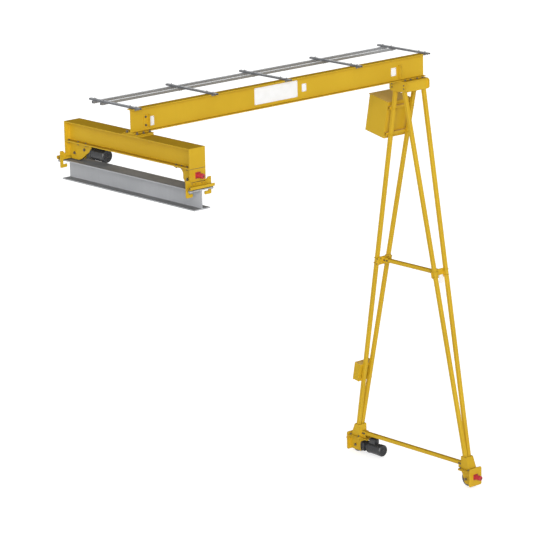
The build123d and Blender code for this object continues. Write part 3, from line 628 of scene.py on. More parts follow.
hook_spots, pin_spots = [], []
for end, axis in (("rear", NORTH), ("front", SOUTH)):
    hook, roller = Span("hook_plate_" + end), Span(f"guide_roller_{end}_in")
    face = hook.y0 + PLATE if axis == NORTH else hook.y1 - PLATE
    hook_spots += spots(HOOK_BOLTS_X, (face,), (RUNWAY.z1 + HOOK_BOLT_RISE,), axis, 0.7)
    pin_spots += spots(both(0, PIN_X), (roller.y,), (SHELF_TOP,), UP, 1.2)
bolts("bolts_hooks", hook_spots, YELLOW, "yellow_paint", Stud=0.008)
bolts("nuts_guide_pins", pin_spots, Stud=0.008)

# %% [markdown]
# ## Bolts of the bridge
# The trolley stops are bolted through the web, and every festoon arm is clamped
# to the top flange and carries the two tracks on screws.

# %% Bridge bolts
STOP_FACE, STOP_BOLT_Z = 0.01175, 0.052
ARM_COUNT, ARM_PITCH, ARM_HALF, ARM_BOLT_Y = 5, 1.236, 0.021, 0.057
for name, inset, finish in (("truck_end", 0.028, DARK_BOLT), ("leg_end", 0.046, YELLOW)):
    stop, stop_spots = Span("trolley_stop_" + name), []
    for side, axis in Y_SIDES:
        stop_spots += spots((stop.x0 + inset,), (BRIDGE_Y + side * STOP_FACE,),
                            both(stop.z, STOP_BOLT_Z), axis, 0.95)
    bolts("bolts_stop_" + name, stop_spots, finish, Stud=0.006)

ARMS, TRACKS = Span("festoon_arms"), Span("festoon_tracks")
ARM_PLACES = [ARMS.x0 + ARM_HALF + i * ARM_PITCH for i in range(ARM_COUNT)]
TRACK_HALF = (TRACKS.z1 - TRACKS.z0) / 2
TRACK_PLACES = (TRACKS.y0 + TRACK_HALF, TRACKS.y1 - TRACK_HALF)
arm_spots = spots(ARM_PLACES, both(BRIDGE_Y, ARM_BOLT_Y) + TRACK_PLACES, (ARMS.z1,), UP, 0.8)
for side, axis in Y_SIDES:
    arm_spots += spots(ARM_PLACES, (BRIDGE_Y + side * ARM_BOLT_Y,), (BRIDGE.z1 - BRIDGE_FLANGE,),
                       axis, 0.6)
bolts("bolts_festoon", arm_spots, ZINC, Stud=0.005)

# %% [markdown]
# ## Bolts of the leg
# The leg's head is clamped to the bridge's lower flange, and its end plates are
# bolted at their corners. The struts are pinned in their ears, and each foot
# stands on its wheel housing on four bolts.

# %% Leg bolts
HEAD_BOLTS_X, HEAD_BOLT_Y = (-0.16, -0.06, 0.06, 0.16), 0.084
HEAD_END_X, END_BOLT_Y, END_BOLTS_Z = 0.21, 0.112, (-0.052, -0.096)
EAR_X, FOOT_BOLT_X, FOOT_BOLT_Y = 0.0257, 0.082, 0.078
MID_STRUT, BOTTOM_STRUT = Span("mid_strut"), Span("bottom_strut")
head_spots = spots([HEAD.x + x for x in HEAD_BOLTS_X], both(BRIDGE_Y, HEAD_BOLT_Y), (HEAD.z1,), UP)
for side, axis in X_SIDES:
    head_spots += spots((HEAD.x + side * HEAD_END_X,), both(BRIDGE_Y, END_BOLT_Y),
                        [SOLE_TOP + z for z in END_BOLTS_Z], axis, 0.8)
bolts("bolts_head", head_spots, Stud=0.005)

strut_spots = []
for strut, steps in ((MID_STRUT, (0.025, 0.075)), (BOTTOM_STRUT, (0.012, 0.045))):
    ys = [strut.y0 + step for step in steps] + [strut.y1 - step for step in steps]
    for side, axis in X_SIDES:
        strut_spots += spots((strut.x + side * (EAR_X + EAR_THICK),), ys, (strut.z,), axis, 0.8)
bolts("bolts_struts", strut_spots, Stud=0.005)

foot_ys = [y for middle in both(BRIDGE_Y, FOOT_Y) for y in both(middle, FOOT_BOLT_Y)]
bolts("bolts_feet", spots(both(FOOT.x, FOOT_BOLT_X), foot_ys, (FOOT.z0 + PLATE,), UP, 0.9),
      Stud=0.008)
bolts("bolts_floor_axles", axle_spots("floor"), slot="wheel_steel")

# %% [markdown]
# ## Weld beads
# The plates are joined by fillet welds, which show as a rounded, slightly
# rippled line in each corner. A tree follows a path, divides it into short steps,
# lets the thickness swell and shrink a little with a fixed seed, and sweeps a
# small circle along it. Half of the circle is inside the corner.

# %% The weld tree
BEAD = 0.0045


def make_weld_tree():
    """A six-sided bead of uneven thickness along each path."""
    tree, source, result = shape_tree("weld_beads", {"Bead": BEAD, "Step": 0.012, "Ripple": 0.18})
    curve = geometry(tree, "MeshToCurve", {"Mesh": source["Geometry"]})
    curve = geometry(tree, "ResampleCurve", {"Curve": curve, "Length": source["Step"]},
                     mode="LENGTH")
    chance = node(tree, "FunctionNodeRandomValue", {"Seed": 7}, data_type="FLOAT")
    uneven = times(tree, maths(tree, "SUBTRACT", chance.outputs[1], 0.5),
                   times(tree, source["Ripple"], 2.0))
    swell = times(tree, source["Bead"], maths(tree, "ADD", uneven, 1.0))
    curve = geometry(tree, "SetCurveRadius", {"Curve": curve, "Radius": swell})
    ring = geometry(tree, "CurvePrimitiveCircle", {"Resolution": 6, "Radius": 1.0})
    bead = node(tree, "GeometryNodeCurveToMesh",
                {"Curve": curve, "Profile Curve": ring, "Fill Caps": True})
    if "Scale" in bead.inputs:
        fill(tree, bead, {"Scale": geometry(tree, "InputRadius")})
    return finish_tree(tree, source, result, bead.outputs[0])


WELD_TREE = make_weld_tree()
print("weld tree has", len(WELD_TREE.nodes), "nodes")


def path_piece(name, paths):
    """An object whose edges follow each path of points."""
    points, edges = [], []
    for path in paths:
        start = len(points)
        points += path
        edges += [(start + i, start + i + 1) for i in range(len(path) - 1)]
    mesh = bpy.data.meshes.new(name)
    mesh.from_pydata(points, edges, [])
    return new_object(name, mesh)


def welds(name, paths, bead=BEAD):
    """One object with a weld bead along each path of points."""
    grow(path_piece(name, paths), WELD_TREE, YELLOW, "yellow_paint", Bead=bead)


def rods(name, paths, material, slot, radius, step):
    """Round rods bent along paths, such as square U-bolts."""
    grow(path_piece(name, paths), WELD_TREE, material, slot, Bead=radius, Ripple=0.0, Step=step)


def ring_path(x0, x1, y0, y1, z):
    """A closed level rectangle as a path."""
    return [(x0, y0, z), (x1, y0, z), (x1, y1, z), (x0, y1, z), (x0, y0, z)]


# %% Weld beads on the truck and the bridge
FLANGE_SHARE = 2.45
WELD_INSET, SHELF_HALF, SOLE_LENGTH = 0.01, 0.15, 0.252
TRUCK_INSIDE = (TRUCK.z0 + TRUCK_FLANGE, TRUCK.z1 - TRUCK_FLANGE)
TRUCK_ENDS = (TRUCK.y0 + END_PLATE, TRUCK.y1 - END_PLATE)
WEBS_X = both(0, TRUCK_WEB_X)
truck_welds = []
for y in TRUCK_ENDS:
    truck_welds += [[(x, y, z) for z in TRUCK_INSIDE] for x in WEBS_X]
    truck_welds += [[(x, y, z), (x * FLANGE_SHARE, y, z)] for z in TRUCK_INSIDE for x in WEBS_X]
truck_welds += [[(x, y, z) for y in TRUCK_ENDS] for x in WEBS_X for z in TRUCK_INSIDE]
truck_welds.append(ring_path(SEAT.x0, SEAT.x1, SEAT.y0, SEAT.y1, TRUCK.z1))
for box in (Span("truck_housing_drive"), Span("truck_housing_idle")):
    truck_welds += [[(x, box.y0 + WELD_INSET, box.z1 - PLATE), (x, box.y1 - PLATE, box.z1 - PLATE)]
                    for x in both(0, HOUSING_X)]
for y in (Span("hook_plate_rear").y0 + PLATE, Span("hook_plate_front").y1 - PLATE):
    truck_welds.append([(-SHELF_HALF, y, SHELF_TOP), (SHELF_HALF, y, SHELF_TOP)])
welds("welds_truck", truck_welds)
welds("welds_bridge", [[(BRIDGE.x0, y, SOLE_TOP), (BRIDGE.x0 + SOLE_LENGTH, y, SOLE_TOP)]
                       for y in both(BRIDGE_Y, BRIDGE_HALF)])

# %% Weld beads on the leg
HEAD_BOX_Y, SHOE_X, SHOE_Y, SIDE_WELD_Y = 0.134, 0.075, 0.084, 0.1
HEAD_ENDS, HEAD_TOP = (HEAD.x0 + PLATE, HEAD.x1 - PLATE), HEAD.z1 - PLATE
head_welds = [[(x, y, HEAD.z0 + WELD_INSET), (x, y, HEAD_TOP)]
              for x in HEAD_ENDS for y in both(BRIDGE_Y, HEAD_BOX_Y)]
head_welds += [[(x, y, HEAD_TOP) for x in HEAD_ENDS] for y in both(BRIDGE_Y, HEAD_BOX_Y)]
head_welds += [ring_path(*both(x, TUBE_HALF), *both(y, TUBE_HALF), HEAD.z0)
               for x in both(HEAD.x, HEAD_TUBE_X) for y in both(BRIDGE_Y, HEAD_TUBE_Y)]
welds("welds_head", head_welds)

foot_welds = [ring_path(*both(FOOT.x, SHOE_X), *both(BRIDGE_Y + side * FOOT_Y, SHOE_Y),
                        FOOT.z0 + PLATE) for side in (1, -1)]
for kind in ("drive", "idle"):
    box, wheel = Span("floor_housing_" + kind), Span("floor_wheel_" + kind)
    foot_welds += [[(x, y, FOOT.z0 - PLATE) for y in both(wheel.y, SIDE_WELD_Y)]
                   for x in both(box.x, HOUSING_X)]
welds("welds_feet", foot_welds)

# %% [markdown]
# ## Plain mesh pieces
# Some pieces are one of a kind: plates, lids, hinges, latches. A bmesh recipe adds
# boxes, flat outlines and turned profiles, and a small bevel then rounds every
# sharp edge, so that light catches it.

# %% Recipes for plain pieces
SHARP_TURN = 0.7


def add_block(shape, low, high, turn=Matrix.Identity(4)):
    """A box between two corners, turned by a matrix if one is given."""
    for corner in bmesh.ops.create_cube(shape, size=1.0)["verts"]:
        corner.co = turn @ Vector([b if c > 0 else a for a, b, c in zip(low, high, corner.co)])


def rounded_outline(width, height, corner, steps=4):
    """The points of a rectangle with round corners, anticlockwise."""
    points = []
    for index in range(4):
        x = (width / 2 - corner) * (1 if index in (0, 3) else -1)
        z = (height / 2 - corner) * (1 if index in (0, 1) else -1)
        for step in range(steps + 1):
            angle = math.pi / 2 * (index + step / steps)
            points.append((x + corner * math.cos(angle), z + corner * math.sin(angle)))
    return points


def add_outline(shape, points, place, depth):
    """A flat outline in x and z of a place matrix, made thick along its -y."""
    front, back = [[shape.verts.new(place @ Vector((x, y, z))) for x, z in points]
                   for y in (-depth, 0)]
    shape.faces.new(front)
    shape.faces.new(list(reversed(back)))
    for i in range(len(points)):
        shape.faces.new([front[i], front[i - 1], back[i - 1], back[i]])


def add_turned(shape, profile, place, steps=24):
    """A profile of radius and height turned round the z of a place matrix."""
    turns = [math.tau * i / steps for i in range(steps)]
    rings = [[shape.verts.new(place @ Vector((radius * math.cos(a), radius * math.sin(a), height)))
              for a in turns] for radius, height in profile]
    for low, high in zip(rings, rings[1:]):
        for i in range(steps):
            shape.faces.new([low[i - 1], low[i], high[i], high[i - 1]])
    shape.faces.new(list(reversed(rings[0])))
    shape.faces.new(rings[-1])


def build(name, recipe, material, *details, slot="yellow_paint", bevel=0.001):
    """Runs a recipe, bevels its sharp edges and makes it ride on the crane."""
    shape = bmesh.new()
    recipe(shape, *details)
    if bevel:
        sharp = [e for e in shape.edges
                 if len(e.link_faces) == 2 and e.calc_face_angle() > SHARP_TURN]
        bmesh.ops.bevel(shape, geom=sharp, offset=bevel, segments=2, profile=0.6,
                        affect="EDGES", clamp_overlap=True)
    bmesh.ops.recalc_face_normals(shape, faces=shape.faces)
    mesh = bpy.data.meshes.new(name)
    shape.to_mesh(mesh)
    shape.free()
    mesh.materials.append(material)
    settle(new_object(name, mesh))


# %% The frame of the leaning leg pairs
def placed(base, offset, angle=0.0, axis="X"):
    """A place matrix that is moved by an offset and then turned."""
    return base @ Matrix.Translation(offset) @ Matrix.Rotation(angle, 4, axis)


def turned(place, local):
    """Spots that are given in the frame of a place matrix."""
    return [(place @ where, place.to_3x3() @ axis, size) for where, axis, size in local]


LEG = Span("leg_tube_rear_in")
SLOPE = (FOOT_Y - HEAD_TUBE_Y) / (LEG.z1 - LEG.z0)
print("legs lean", round(math.degrees(math.atan(SLOPE)), 2), "degrees")


def on_legs(height, side=1):
    """The place matrix on the rear (or front) leg pair at a height."""
    mirrored = Matrix.Translation((HEAD.x, BRIDGE_Y, 0)) @ Matrix.Scale(side, 4, NORTH)
    return placed(mirrored, (0, FOOT_Y - (height - LEG.z0) * SLOPE, height), math.atan(SLOPE))


# %% [markdown]
# ## Welds of the mid brackets
# Each ear of a mid bracket is welded along both its sides. The ears stand upright
# and their plate leans, so an ear's upper end reaches through the plate, and a
# short, thick slot weld closes it on the outer side.

# %% Weld beads at the ears of the mid brackets
BRACKET_IN, EAR_WELDS_X, EAR_WELD_Z = -0.0354, (-0.034, -EAR_X, EAR_X, 0.034), 0.042
SLOT_X, SLOT_WELD_Z, SLOT_BEAD = 0.0298, (0.022, 0.030, 0.038, 0.046), 0.0065
ear_welds, slot_welds = [], []
for side in (-1, 1):
    place = on_legs(MID_STRUT.z, side)
    ear_welds += [[place @ Vector((x, BRACKET_IN, z)) for z in both(0, EAR_WELD_Z)]
                  for x in EAR_WELDS_X]
    slot_welds += [[place @ Vector((x, -TUBE_HALF, z)) for z in SLOT_WELD_Z]
                   for x in both(0, SLOT_X)]
welds("welds_brackets", ear_welds)
welds("welds_slots", slot_welds, bead=SLOT_BEAD)

# %% [markdown]
# ## Bare plates
# Four thin enamelled plates sit on the near side of the web: a wide one in the
# middle, a small one beside it, and one near each trolley stop. A fifth is on the
# front mid bracket. The real ones carry print. Here they stay bare, and small
# screws hold them.

# %% Plates
WEB_FACE, SHEET, SHEET_CORNER, SHEET_BEVEL = BRIDGE_Y - WEB_HALF, 0.002, 0.006, 0.0004
PLATES = {"plate_wide": (1.912, 2.645, 0.831, 1.047), "plate_small": (2.722, 2.798, 0.885, 0.987),
          "plate_truck_end": (0.184, 0.262, 0.834, 0.950),
          "plate_leg_end": (4.310, 4.400, 0.856, 0.964)}
SCREW_INSET, LEG_PLATE_SIZE, LEG_PLATE_PLACE = 0.010, (0.086, 0.112), (0.022, -TUBE_HALF, -0.079)
LEG_SCREW_X, LEG_SCREW_Z = 0.034, 0.046
plate_screws = []
for name, (x0, x1, z0, z1) in PLATES.items():
    place = Matrix.Translation(((x0 + x1) / 2, WEB_FACE, (z0 + z1) / 2))
    build(name, add_outline, WHITE_SHEET, rounded_outline(x1 - x0, z1 - z0, SHEET_CORNER), place,
          SHEET, bevel=SHEET_BEVEL)
    plate_screws += spots((x0 + SCREW_INSET, x1 - SCREW_INSET), (WEB_FACE - SHEET,),
                          (z0 + SCREW_INSET, z1 - SCREW_INSET), SOUTH, 0.3)
bolts("screws_plates", plate_screws, ZINC)
leg_plate = placed(on_legs(MID_STRUT.z, -1), LEG_PLATE_PLACE, math.pi, "Z")
build("plate_leg", add_outline, WHITE_SHEET, rounded_outline(*LEG_PLATE_SIZE, SHEET_CORNER),
      leg_plate, SHEET, bevel=SHEET_BEVEL)
leg_screws = spots(both(0, LEG_SCREW_X), (-SHEET,), (LEG_SCREW_Z,), SOUTH, 0.35)
bolts("screws_plate_leg", turned(leg_plate, leg_screws), ZINC)

# %% [markdown]
# ## The two drives
# Each geared motor is a smooth closed shell. Its parts that repeat are the guard
# over the fan, rings and spokes in the round recess at its end, and the screws of
# the fan cover and of the terminal box. The guard is a tree of its own.

# %% The fan guard tree
RING_SHARES, SPOKES = (0.25, 0.5, 0.75, 0.97), 8


def make_guard_tree():
    """Wire rings and spokes on each point, across that point's axis."""
    tree, source, result = shape_tree("fan_guard", {"Reach": 0.060, "Wire": 0.0022})
    reach, wire = source["Reach"], source["Wire"]
    section = geometry(tree, "CurvePrimitiveCircle", {"Resolution": 6, "Radius": wire})
    parts = []
    for share in RING_SHARES:
        loop = geometry(tree, "CurvePrimitiveCircle",
                        {"Resolution": 36, "Radius": times(tree, reach, share)})
        parts.append(geometry(tree, "CurveToMesh", {"Curve": loop, "Profile Curve": section}))
    spoke = geometry(tree, "MeshCylinder", {"Vertices": 8, "Radius": wire, "Depth": reach})
    spoke = geometry(tree, "Transform", {"Geometry": spoke, "Rotation": (0, math.pi / 2, 0)})
    spoke = moved(tree, spoke, X=times(tree, reach, 0.5))
    hub = geometry(tree, "MeshCircle", {"Vertices": SPOKES, "Radius": 0.0001})
    angle = times(tree, geometry(tree, "InputIndex"), math.tau / SPOKES)
    parts.append(geometry(tree, "InstanceOnPoints", {
        "Points": hub, "Instance": spoke, "Rotation": shader(tree, "CombineXYZ", {"Z": angle})}))
    return finish_tree(tree, source, result, on_points(tree, source, joined(tree, parts)))


GUARD_TREE = make_guard_tree()
print("guard tree has", len(GUARD_TREE.nodes), "nodes")

# %% Guards, cover screws and lids of the motors
MOTOR_RISE, GUARD_INSET = 0.029, 0.001
FAN_SCREW_Y, COVER_SCREW_RADIUS = 0.05, 0.0775
# Each step of a lid: half its width, half its length, its foot and its top.
LID_STEPS = ((0.041, 0.053, 0.0, 0.004), (0.044, 0.056, 0.004, 0.009))
LID_Y, LID_TOP, LID_SCREW_X, LID_SCREW_Y = 0.056, 0.009, 0.036, 0.048
LID_GLAND_Z, LID_RISE, LID_GAP = -0.022, 0.046, 0.006
LID_GLAND = [(0.013, -0.002), (0.013, 0.008), (0.011, 0.010), (0.011, 0.018), (0.008, 0.022),
             (0.005, 0.022)]
TRUCK_AXIS = Vector((0, TRUCK_MOTOR.y0, DRIVE.z + MOTOR_RISE))
FLOOR_AXIS = Vector((HEAD.x, FLOOR_MOTOR.y0, Span("floor_wheel_drive").z))
guards = [(place + NORTH * GUARD_INSET, SOUTH, 1) for place in (TRUCK_AXIS, FLOOR_AXIS)]
grow(point_piece("fan_guards", guards), GUARD_TREE, MOTOR_GREY, "motor_paint")

motor_screws = []
for centre in (TRUCK_AXIS, FLOOR_AXIS):
    for step in range(4):
        angle = math.pi * (step + 0.5) / 2
        out = Vector((math.cos(angle), 0, math.sin(angle)))
        motor_screws.append((centre + out * MOTOR_RADIUS + NORTH * FAN_SCREW_Y, out, 0.3))
        motor_screws.append((centre + out * COVER_SCREW_RADIUS + NORTH * MOTOR_FACE, SOUTH, 0.45))


def add_lid(shape, centre, out):
    """The lid, its gasket step and the cable gland of a terminal box."""
    turn = Matrix((NORTH.cross(out), NORTH, out)).transposed().to_4x4()
    place = Matrix.Translation(centre) @ turn
    for x, y, low, high in LID_STEPS:
        add_block(shape, (-x, -y, low), (x, y, high), place)
    screws = spots(both(0, LID_SCREW_X), both(0, LID_SCREW_Y), (LID_TOP,), UP, 0.35)
    motor_screws.extend(turned(place, screws))
    gland = placed(place, (0, -LID_Y, LID_GLAND_Z), math.pi / 2)
    add_turned(shape, LID_GLAND, gland, steps=12)


lid_back = NORTH * (MOTOR_FACE - LID_GAP - LID_Y)
truck_out = EAST if TRUCK_MOTOR.x > 0 else WEST
for name, centre, out in (("lid_truck_motor", TRUCK_AXIS, truck_out),
                          ("lid_floor_motor", FLOOR_AXIS, UP)):
    build(name, add_lid, MOTOR_GREY, centre + out * (MOTOR_RADIUS + LID_RISE) + lid_back, out,
          slot="motor_paint")
bolts("screws_motors", motor_screws, slot="motor_paint")

# %% Screws round the floor gearbox's flange, and its plugs
GEARBOX = Span("floor_gearbox")
FLANGE_SCREW_X, FLANGE_SCREW_Z, FLANGE_THICK = 0.06, 0.054, 0.008
PLUG_X, PLUG_BACK, PLUG_DROP = 0.066, 0.035, 0.03
gear_spots = spots(both(GEARBOX.x, FLANGE_SCREW_X), (GEARBOX.y1 - FLANGE_THICK,),
                   both(FLOOR_AXIS.z, FLANGE_SCREW_Z), SOUTH, 0.5)
gear_spots += [spot(GEARBOX.x + side * PLUG_X, GEARBOX.y1 - PLUG_BACK, FLOOR_AXIS.z - PLUG_DROP,
                    axis, 0.6) for side, axis in X_SIDES]
bolts("bolts_floor_gearbox", gear_spots, slot="gearbox_paint")

# %% [markdown]
# ## The leaning boxes
# The cabinet and the small box lean with the rear legs. Their parts are placed in
# the boxes' own frame: x along the bridge, y out from the legs, z up along them.

# %% Fittings of the cabinet and of the small box
CABINET_Z, CABINET_HALF_X, CABINET_HALF_Z = 0.198, 0.2165, 0.2575
CABINET_BACK, CABINET_DEPTH, DOOR_THICK = 0.0664, 0.358, 0.009
CABINET_FRONT = CABINET_BACK + CABINET_DEPTH + DOOR_THICK
HINGES_Z, HINGE_INSET, HINGE_SINK = (-0.18, 0.0, 0.18), 0.010, 0.002
HINGE = [(0.006, -0.025), (0.007, -0.024), (0.007, 0.024), (0.006, 0.025)]
LIP_LOW, LIP_HIGH = Vector((-0.004, 0.01, -0.004)), Vector((0.004, 0.012, 0.003))
LATCH_Z, LATCH_INSET = 0.12, 0.05
LATCH = [(0.016, -0.001), (0.016, 0.006), (0.013, 0.009), (0.006, 0.009)]
LATCH_KEY = ((-0.003, -0.011, 0.008), (0.003, 0.011, 0.017))
GLAND = [(0.017, -0.001), (0.017, 0.010), (0.014, 0.012), (0.014, 0.024), (0.010, 0.030),
         (0.006, 0.030)]
CABINET_GLANDS = [(x, 0.2) for x in (-0.12, -0.04, 0.04, 0.12)]
SMALL_GLANDS, SMALL_HALF_Z, SMALL_BOX_Z = [(-0.06, 0.08), (0.06, 0.08)], 0.127, -3.462
SMALL_GAP, SMALL_DEPTH, SMALL_SCREW_X, SMALL_SCREW_Z = 0.010, 0.096, 0.115, 0.112
CABINET, SMALL_BOX = on_legs(CABINET_Z), on_legs(SMALL_BOX_Z)


def cabinet_fittings(shape):
    """The hinges and the drip lip of the cabinet."""
    for z in HINGES_Z:
        hinge = placed(CABINET, (CABINET_HALF_X - HINGE_INSET, CABINET_FRONT - HINGE_SINK, z))
        add_turned(shape, HINGE, hinge, steps=16)
    add_block(shape, LIP_LOW + Vector((-CABINET_HALF_X, CABINET_BACK, CABINET_HALF_Z)),
              LIP_HIGH + Vector((CABINET_HALF_X, CABINET_FRONT, CABINET_HALF_Z)), CABINET)


def cabinet_latches(shape):
    """Two quarter-turn latches on the door."""
    for z in both(0, LATCH_Z):
        boss = placed(CABINET, (LATCH_INSET - CABINET_HALF_X, CABINET_FRONT, z), -math.pi / 2)
        add_turned(shape, LATCH, boss, steps=20)
        add_block(shape, *LATCH_KEY, boss)


def glands(shape, box, places, low):
    """Cable glands in the underside of a box."""
    for x, y in places:
        add_turned(shape, GLAND, placed(box, (x, y, low), math.pi), steps=12)


build("cabinet_fittings", cabinet_fittings, BOX_YELLOW, slot="cabinet_paint")
build("cabinet_latches", cabinet_latches, BLACK_PLASTIC, slot="motor_paint")
build("cabinet_glands", glands, BLACK_PLASTIC, CABINET, CABINET_GLANDS, -CABINET_HALF_Z,
      slot="motor_paint")
small_screws = spots(both(0, SMALL_SCREW_X), (TUBE_HALF + SMALL_GAP + SMALL_DEPTH,),
                     both(0, SMALL_SCREW_Z), NORTH, 0.45)
bolts("screws_small_box", turned(SMALL_BOX, small_screws), ZINC, "cabinet_paint")
build("small_box_glands", glands, BLACK_PLASTIC, SMALL_BOX, SMALL_GLANDS, -SMALL_HALF_Z,
      slot="motor_paint")

# %% [markdown]
# ## Square U-bolts
# Rods bent round the square tubes hold the struts' brackets and the cabinet's
# rails to the legs, and smaller ones hold the tracks up to the festoon arms. They
# follow a path, so the weld tree makes them too, with its ripple set to nothing.

# %% U-bolts
HOOP_X, HOOP_OVER = 0.031, 0.0295
BRACKET_HOOP_Z, BRACKET_BACK, RAIL_HOOP_Z = 0.036, -0.046, 0.72 * CABINET_HALF_Z
RAIL_BACK, RAIL_IN = 0.040, 0.0284
TRACK_GAP, TRACK_HOOP_X, TRACK_TOP, TRACK_TURN = 0.003, 0.014, 0.006, 0.010


def leg_hoops(height, side, z, back, over, seat, nuts):
    """Paths of square hoops round both tubes of a leg pair, and their nuts."""
    place = on_legs(height, side)
    axis = NORTH if back > over else SOUTH
    tube_x = FOOT_TUBE_X + (height - LEG.z0) * (HEAD_TUBE_X - FOOT_TUBE_X) / (LEG.z1 - LEG.z0)
    paths = []
    for x0, x1 in (both(-tube_x, HOOP_X), both(tube_x, HOOP_X)):
        paths.append([place @ Vector((x, y, z))
                      for x, y in ((x0, back), (x0, over), (x1, over), (x1, back))])
        nuts += turned(place, spots((x0, x1), (seat,), (z,), axis, 0.5))
    return paths


hoops, hoop_nuts = [], []
for z in both(0, BRACKET_HOOP_Z):
    for side in (-1, 1):
        hoops += leg_hoops(MID_STRUT.z, side, z, BRACKET_BACK, HOOP_OVER, BRACKET_IN, hoop_nuts)
for z in both(0, RAIL_HOOP_Z):
    hoops += leg_hoops(CABINET_Z, 1, z, RAIL_BACK, -HOOP_OVER, RAIL_IN, hoop_nuts)
rods("hoops_legs", hoops, YELLOW, "yellow_paint", radius=0.004, step=0.015)
bolts("nuts_hoops", hoop_nuts)

track_hoops = []
for x in [x for arm in ARM_PLACES for x in both(arm, TRACK_HOOP_X)]:
    for middle in TRACK_PLACES:
        for side in (-1, 1):
            y, low = middle + side * (TRACK_HALF + TRACK_GAP), TRACKS.z0 - TRACK_GAP
            track_hoops.append([(x, y, ARMS.z1 + TRACK_TOP), (x, y, low),
                                (x, y - side * TRACK_TURN, low)])
rods("hoops_tracks", track_hoops, ZINC, "galvanised_steel", radius=0.0025, step=0.005)

# %% [markdown]
# ## Plugs and painted shadow lines
# A black plug closes each open end of the tracks, flush with the profile; its black
# also stands in for the shade inside the open profile. Thin dark strips are painted
# shadow lines where the wheel housings' end plates meet the truck's, and where the
# hook plates rest against them.

# %% Plugs and painted shadow lines
TRACK_WALL, PLUG_SHY, PLUG_DEPTH = 0.0028, 0.0002, 0.006
SHADOW_LINE_IN, SHADOW_LINE_OUT, SHADOW_LINE_HEIGHT = 0.001, 0.0006, 0.005
SHADOW_LINE_SPANS = ((0.1245, TRUCK.z0 - 0.003), (0.112, RUNWAY.z1 + 0.0822))


def track_plugs_painted_shade(shape):
    """Black plugs in the four ends of the festoon tracks; their black is also painted shade."""
    half, middle = TRACK_HALF - TRACK_WALL, (TRACKS.z0 + TRACKS.z1) / 2
    for y in TRACK_PLACES:
        for x0, x1 in ((TRACKS.x0 + PLUG_SHY, TRACKS.x0 + PLUG_DEPTH),
                       (TRACKS.x1 - PLUG_DEPTH, TRACKS.x1 - PLUG_SHY)):
            add_block(shape, (x0, y - half, middle - half), (x1, y + half, middle + half))


def add_shadow_lines(shape):
    """Thin dark strips at both ends of the truck: painted shadow lines over the joints."""
    for low, high in ((TRUCK.y0 - SHADOW_LINE_OUT, TRUCK.y0 + SHADOW_LINE_IN),
                      (TRUCK.y1 - SHADOW_LINE_IN, TRUCK.y1 + SHADOW_LINE_OUT)):
        for reach, z in SHADOW_LINE_SPANS:
            add_block(shape, (-reach, low, z), (reach, high, z + SHADOW_LINE_HEIGHT))


# The plugs' black is partly painted shade: it stands in for the shade inside the open track ends.
build("track_plugs_painted_shade", track_plugs_painted_shade, BLACK_PLASTIC, slot="motor_paint", bevel=0.0005)
# Painted shadow lines: dark strips over the joints, where a gap would be in shade.
build("painted_shadow_lines_truck_ends", add_shadow_lines, DARK_BOLT, slot="wheel_steel", bevel=0)

# %% [markdown]
# ## Bumper screws
# Each red bumper is moulded on a square steel foot. A dark screw shows in its
# nose, and four screws hold the foot.

# %% Screws of the bumpers
BUMPER_FOOT, BUMPER_SCREW = 0.010, 0.030
bumper_spots = []
for name in ("truck_bumper_rear", "truck_bumper_front", "floor_bumper_rear", "floor_bumper_front"):
    box = Span(name)
    axis, tip, foot = ((NORTH, box.y1, box.y0 + BUMPER_FOOT) if name.endswith("rear")
                       else (SOUTH, box.y0, box.y1 - BUMPER_FOOT))
    bumper_spots.append(spot(box.x, tip, box.z, axis, 0.62))
    bumper_spots += spots(both(box.x, BUMPER_SCREW), (foot,), both(box.z, BUMPER_SCREW), axis, 0.4)
bolts("screws_bumpers", bumper_spots, slot="wheel_steel")

# %% [markdown]
# ## The stage
# A pale floor carries the wheels and keeps a soft shadow. The camera sees it as
# white paper: extra light is added for camera, mirror and glass rays only, so the
# floor never brightens the crane. The sky does the same. From below, the floor is
# clear, so that the crane's underside can be looked at.

# %% Floor and sky
FLOOR_Z, FLOOR_REACH = Span("floor_wheel_idle").z0 - 0.001, 160.0
FLOOR_SHADE, PAPER_LIGHT, SKY_LEVEL = (0.8, 0.8, 0.8, 1), 0.62, 0.34


def seen_share(tree):
    """One for camera, glossy and transmission rays, and zero for the rest."""
    path = node(tree, "ShaderNodeLightPath").outputs
    share = maths(tree, "ADD", path["Is Camera Ray"], path["Is Glossy Ray"])
    return maths(tree, "ADD", share, path["Is Transmission Ray"], clamp=True)


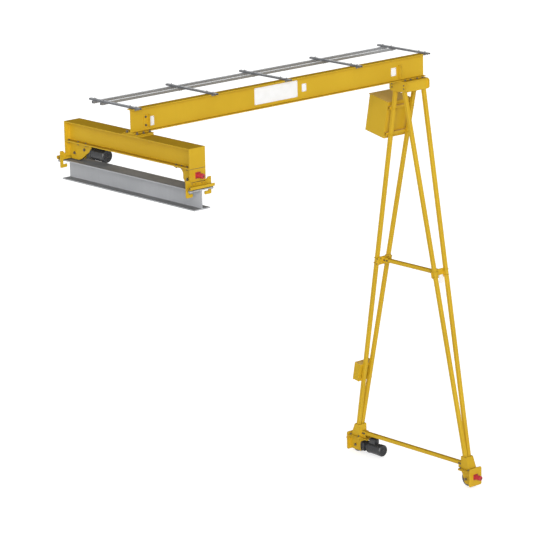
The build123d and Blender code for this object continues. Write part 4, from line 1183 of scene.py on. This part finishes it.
def make_floor():
    """A wide square that looks like white paper from above, and is clear from below."""
    reach, mesh = FLOOR_REACH, bpy.data.meshes.new("floor")
    mesh.from_pydata([(-reach, -reach, FLOOR_Z), (reach, -reach, FLOOR_Z),
                      (reach, reach, FLOOR_Z), (-reach, reach, FLOOR_Z)], [], [(0, 1, 2, 3)])
    floor = new_object("floor", mesh)
    material, tree, _ = new_finish("pale_floor")
    tree.nodes.clear()
    matt = shader(tree, "BsdfDiffuse", {"Color": FLOOR_SHADE})
    light = shader(tree, "Emission", {"Strength": times(tree, seen_share(tree), PAPER_LIGHT)})
    paper = shader(tree, "AddShader", {0: matt, 1: light})
    below = shader(tree, "NewGeometry", output="Backfacing")
    skin = shader(tree, "MixShader", {0: below, 1: paper, 2: shader(tree, "BsdfTransparent")})
    node(tree, "ShaderNodeOutputMaterial", {"Surface": skin})
    mesh.materials.append(material)


def make_sky():
    """An even pale sky, white to the camera and dimmer as a light."""
    world = bpy.data.worlds.new("pale_sky")
    bpy.context.scene.world = world
    world.use_nodes = True
    tree = world.node_tree
    tree.nodes.clear()
    strength = spread(tree, seen_share(tree), 0.0, 1.0, SKY_LEVEL, 1.0)
    back = shader(tree, "Background", {"Color": (1, 1, 1, 1), "Strength": strength})
    node(tree, "ShaderNodeOutputWorld", {"Surface": back})


make_floor()
make_sky()
print("floor at", round(FLOOR_Z, 4), "sky", bpy.context.scene.world.name)

# %% [markdown]
# ## Soft lamps
# Two wide lamps light the crane as a pale studio would: a strong one low beside
# the camera, and a weaker one from behind. They are suns with a large angle, so
# their light is the same everywhere and their shadows are soft.

# %% Lamps
LAMP_DISTANCE = 20


def add_lamp(name, towards, strength, angle):
    """A sun that shines from a direction, with a soft edge of so many degrees."""
    data = bpy.data.lights.new(name, "SUN")
    data.energy = strength * math.pi
    data.angle = math.radians(angle)
    lamp = new_object(name, data)
    turn = Vector(towards).to_track_quat("Z", "Y").to_matrix().to_4x4()
    lamp.matrix_world = Matrix.Translation(Vector(towards) * LAMP_DISTANCE) @ turn


add_lamp("key_lamp", towards=(-0.61, -0.79, 0.12), strength=1.16, angle=60)
add_lamp("back_lamp", towards=(0.62, 0.75, 0.30), strength=0.42, angle=80)
bpy.context.scene.view_settings.view_transform = "Standard"
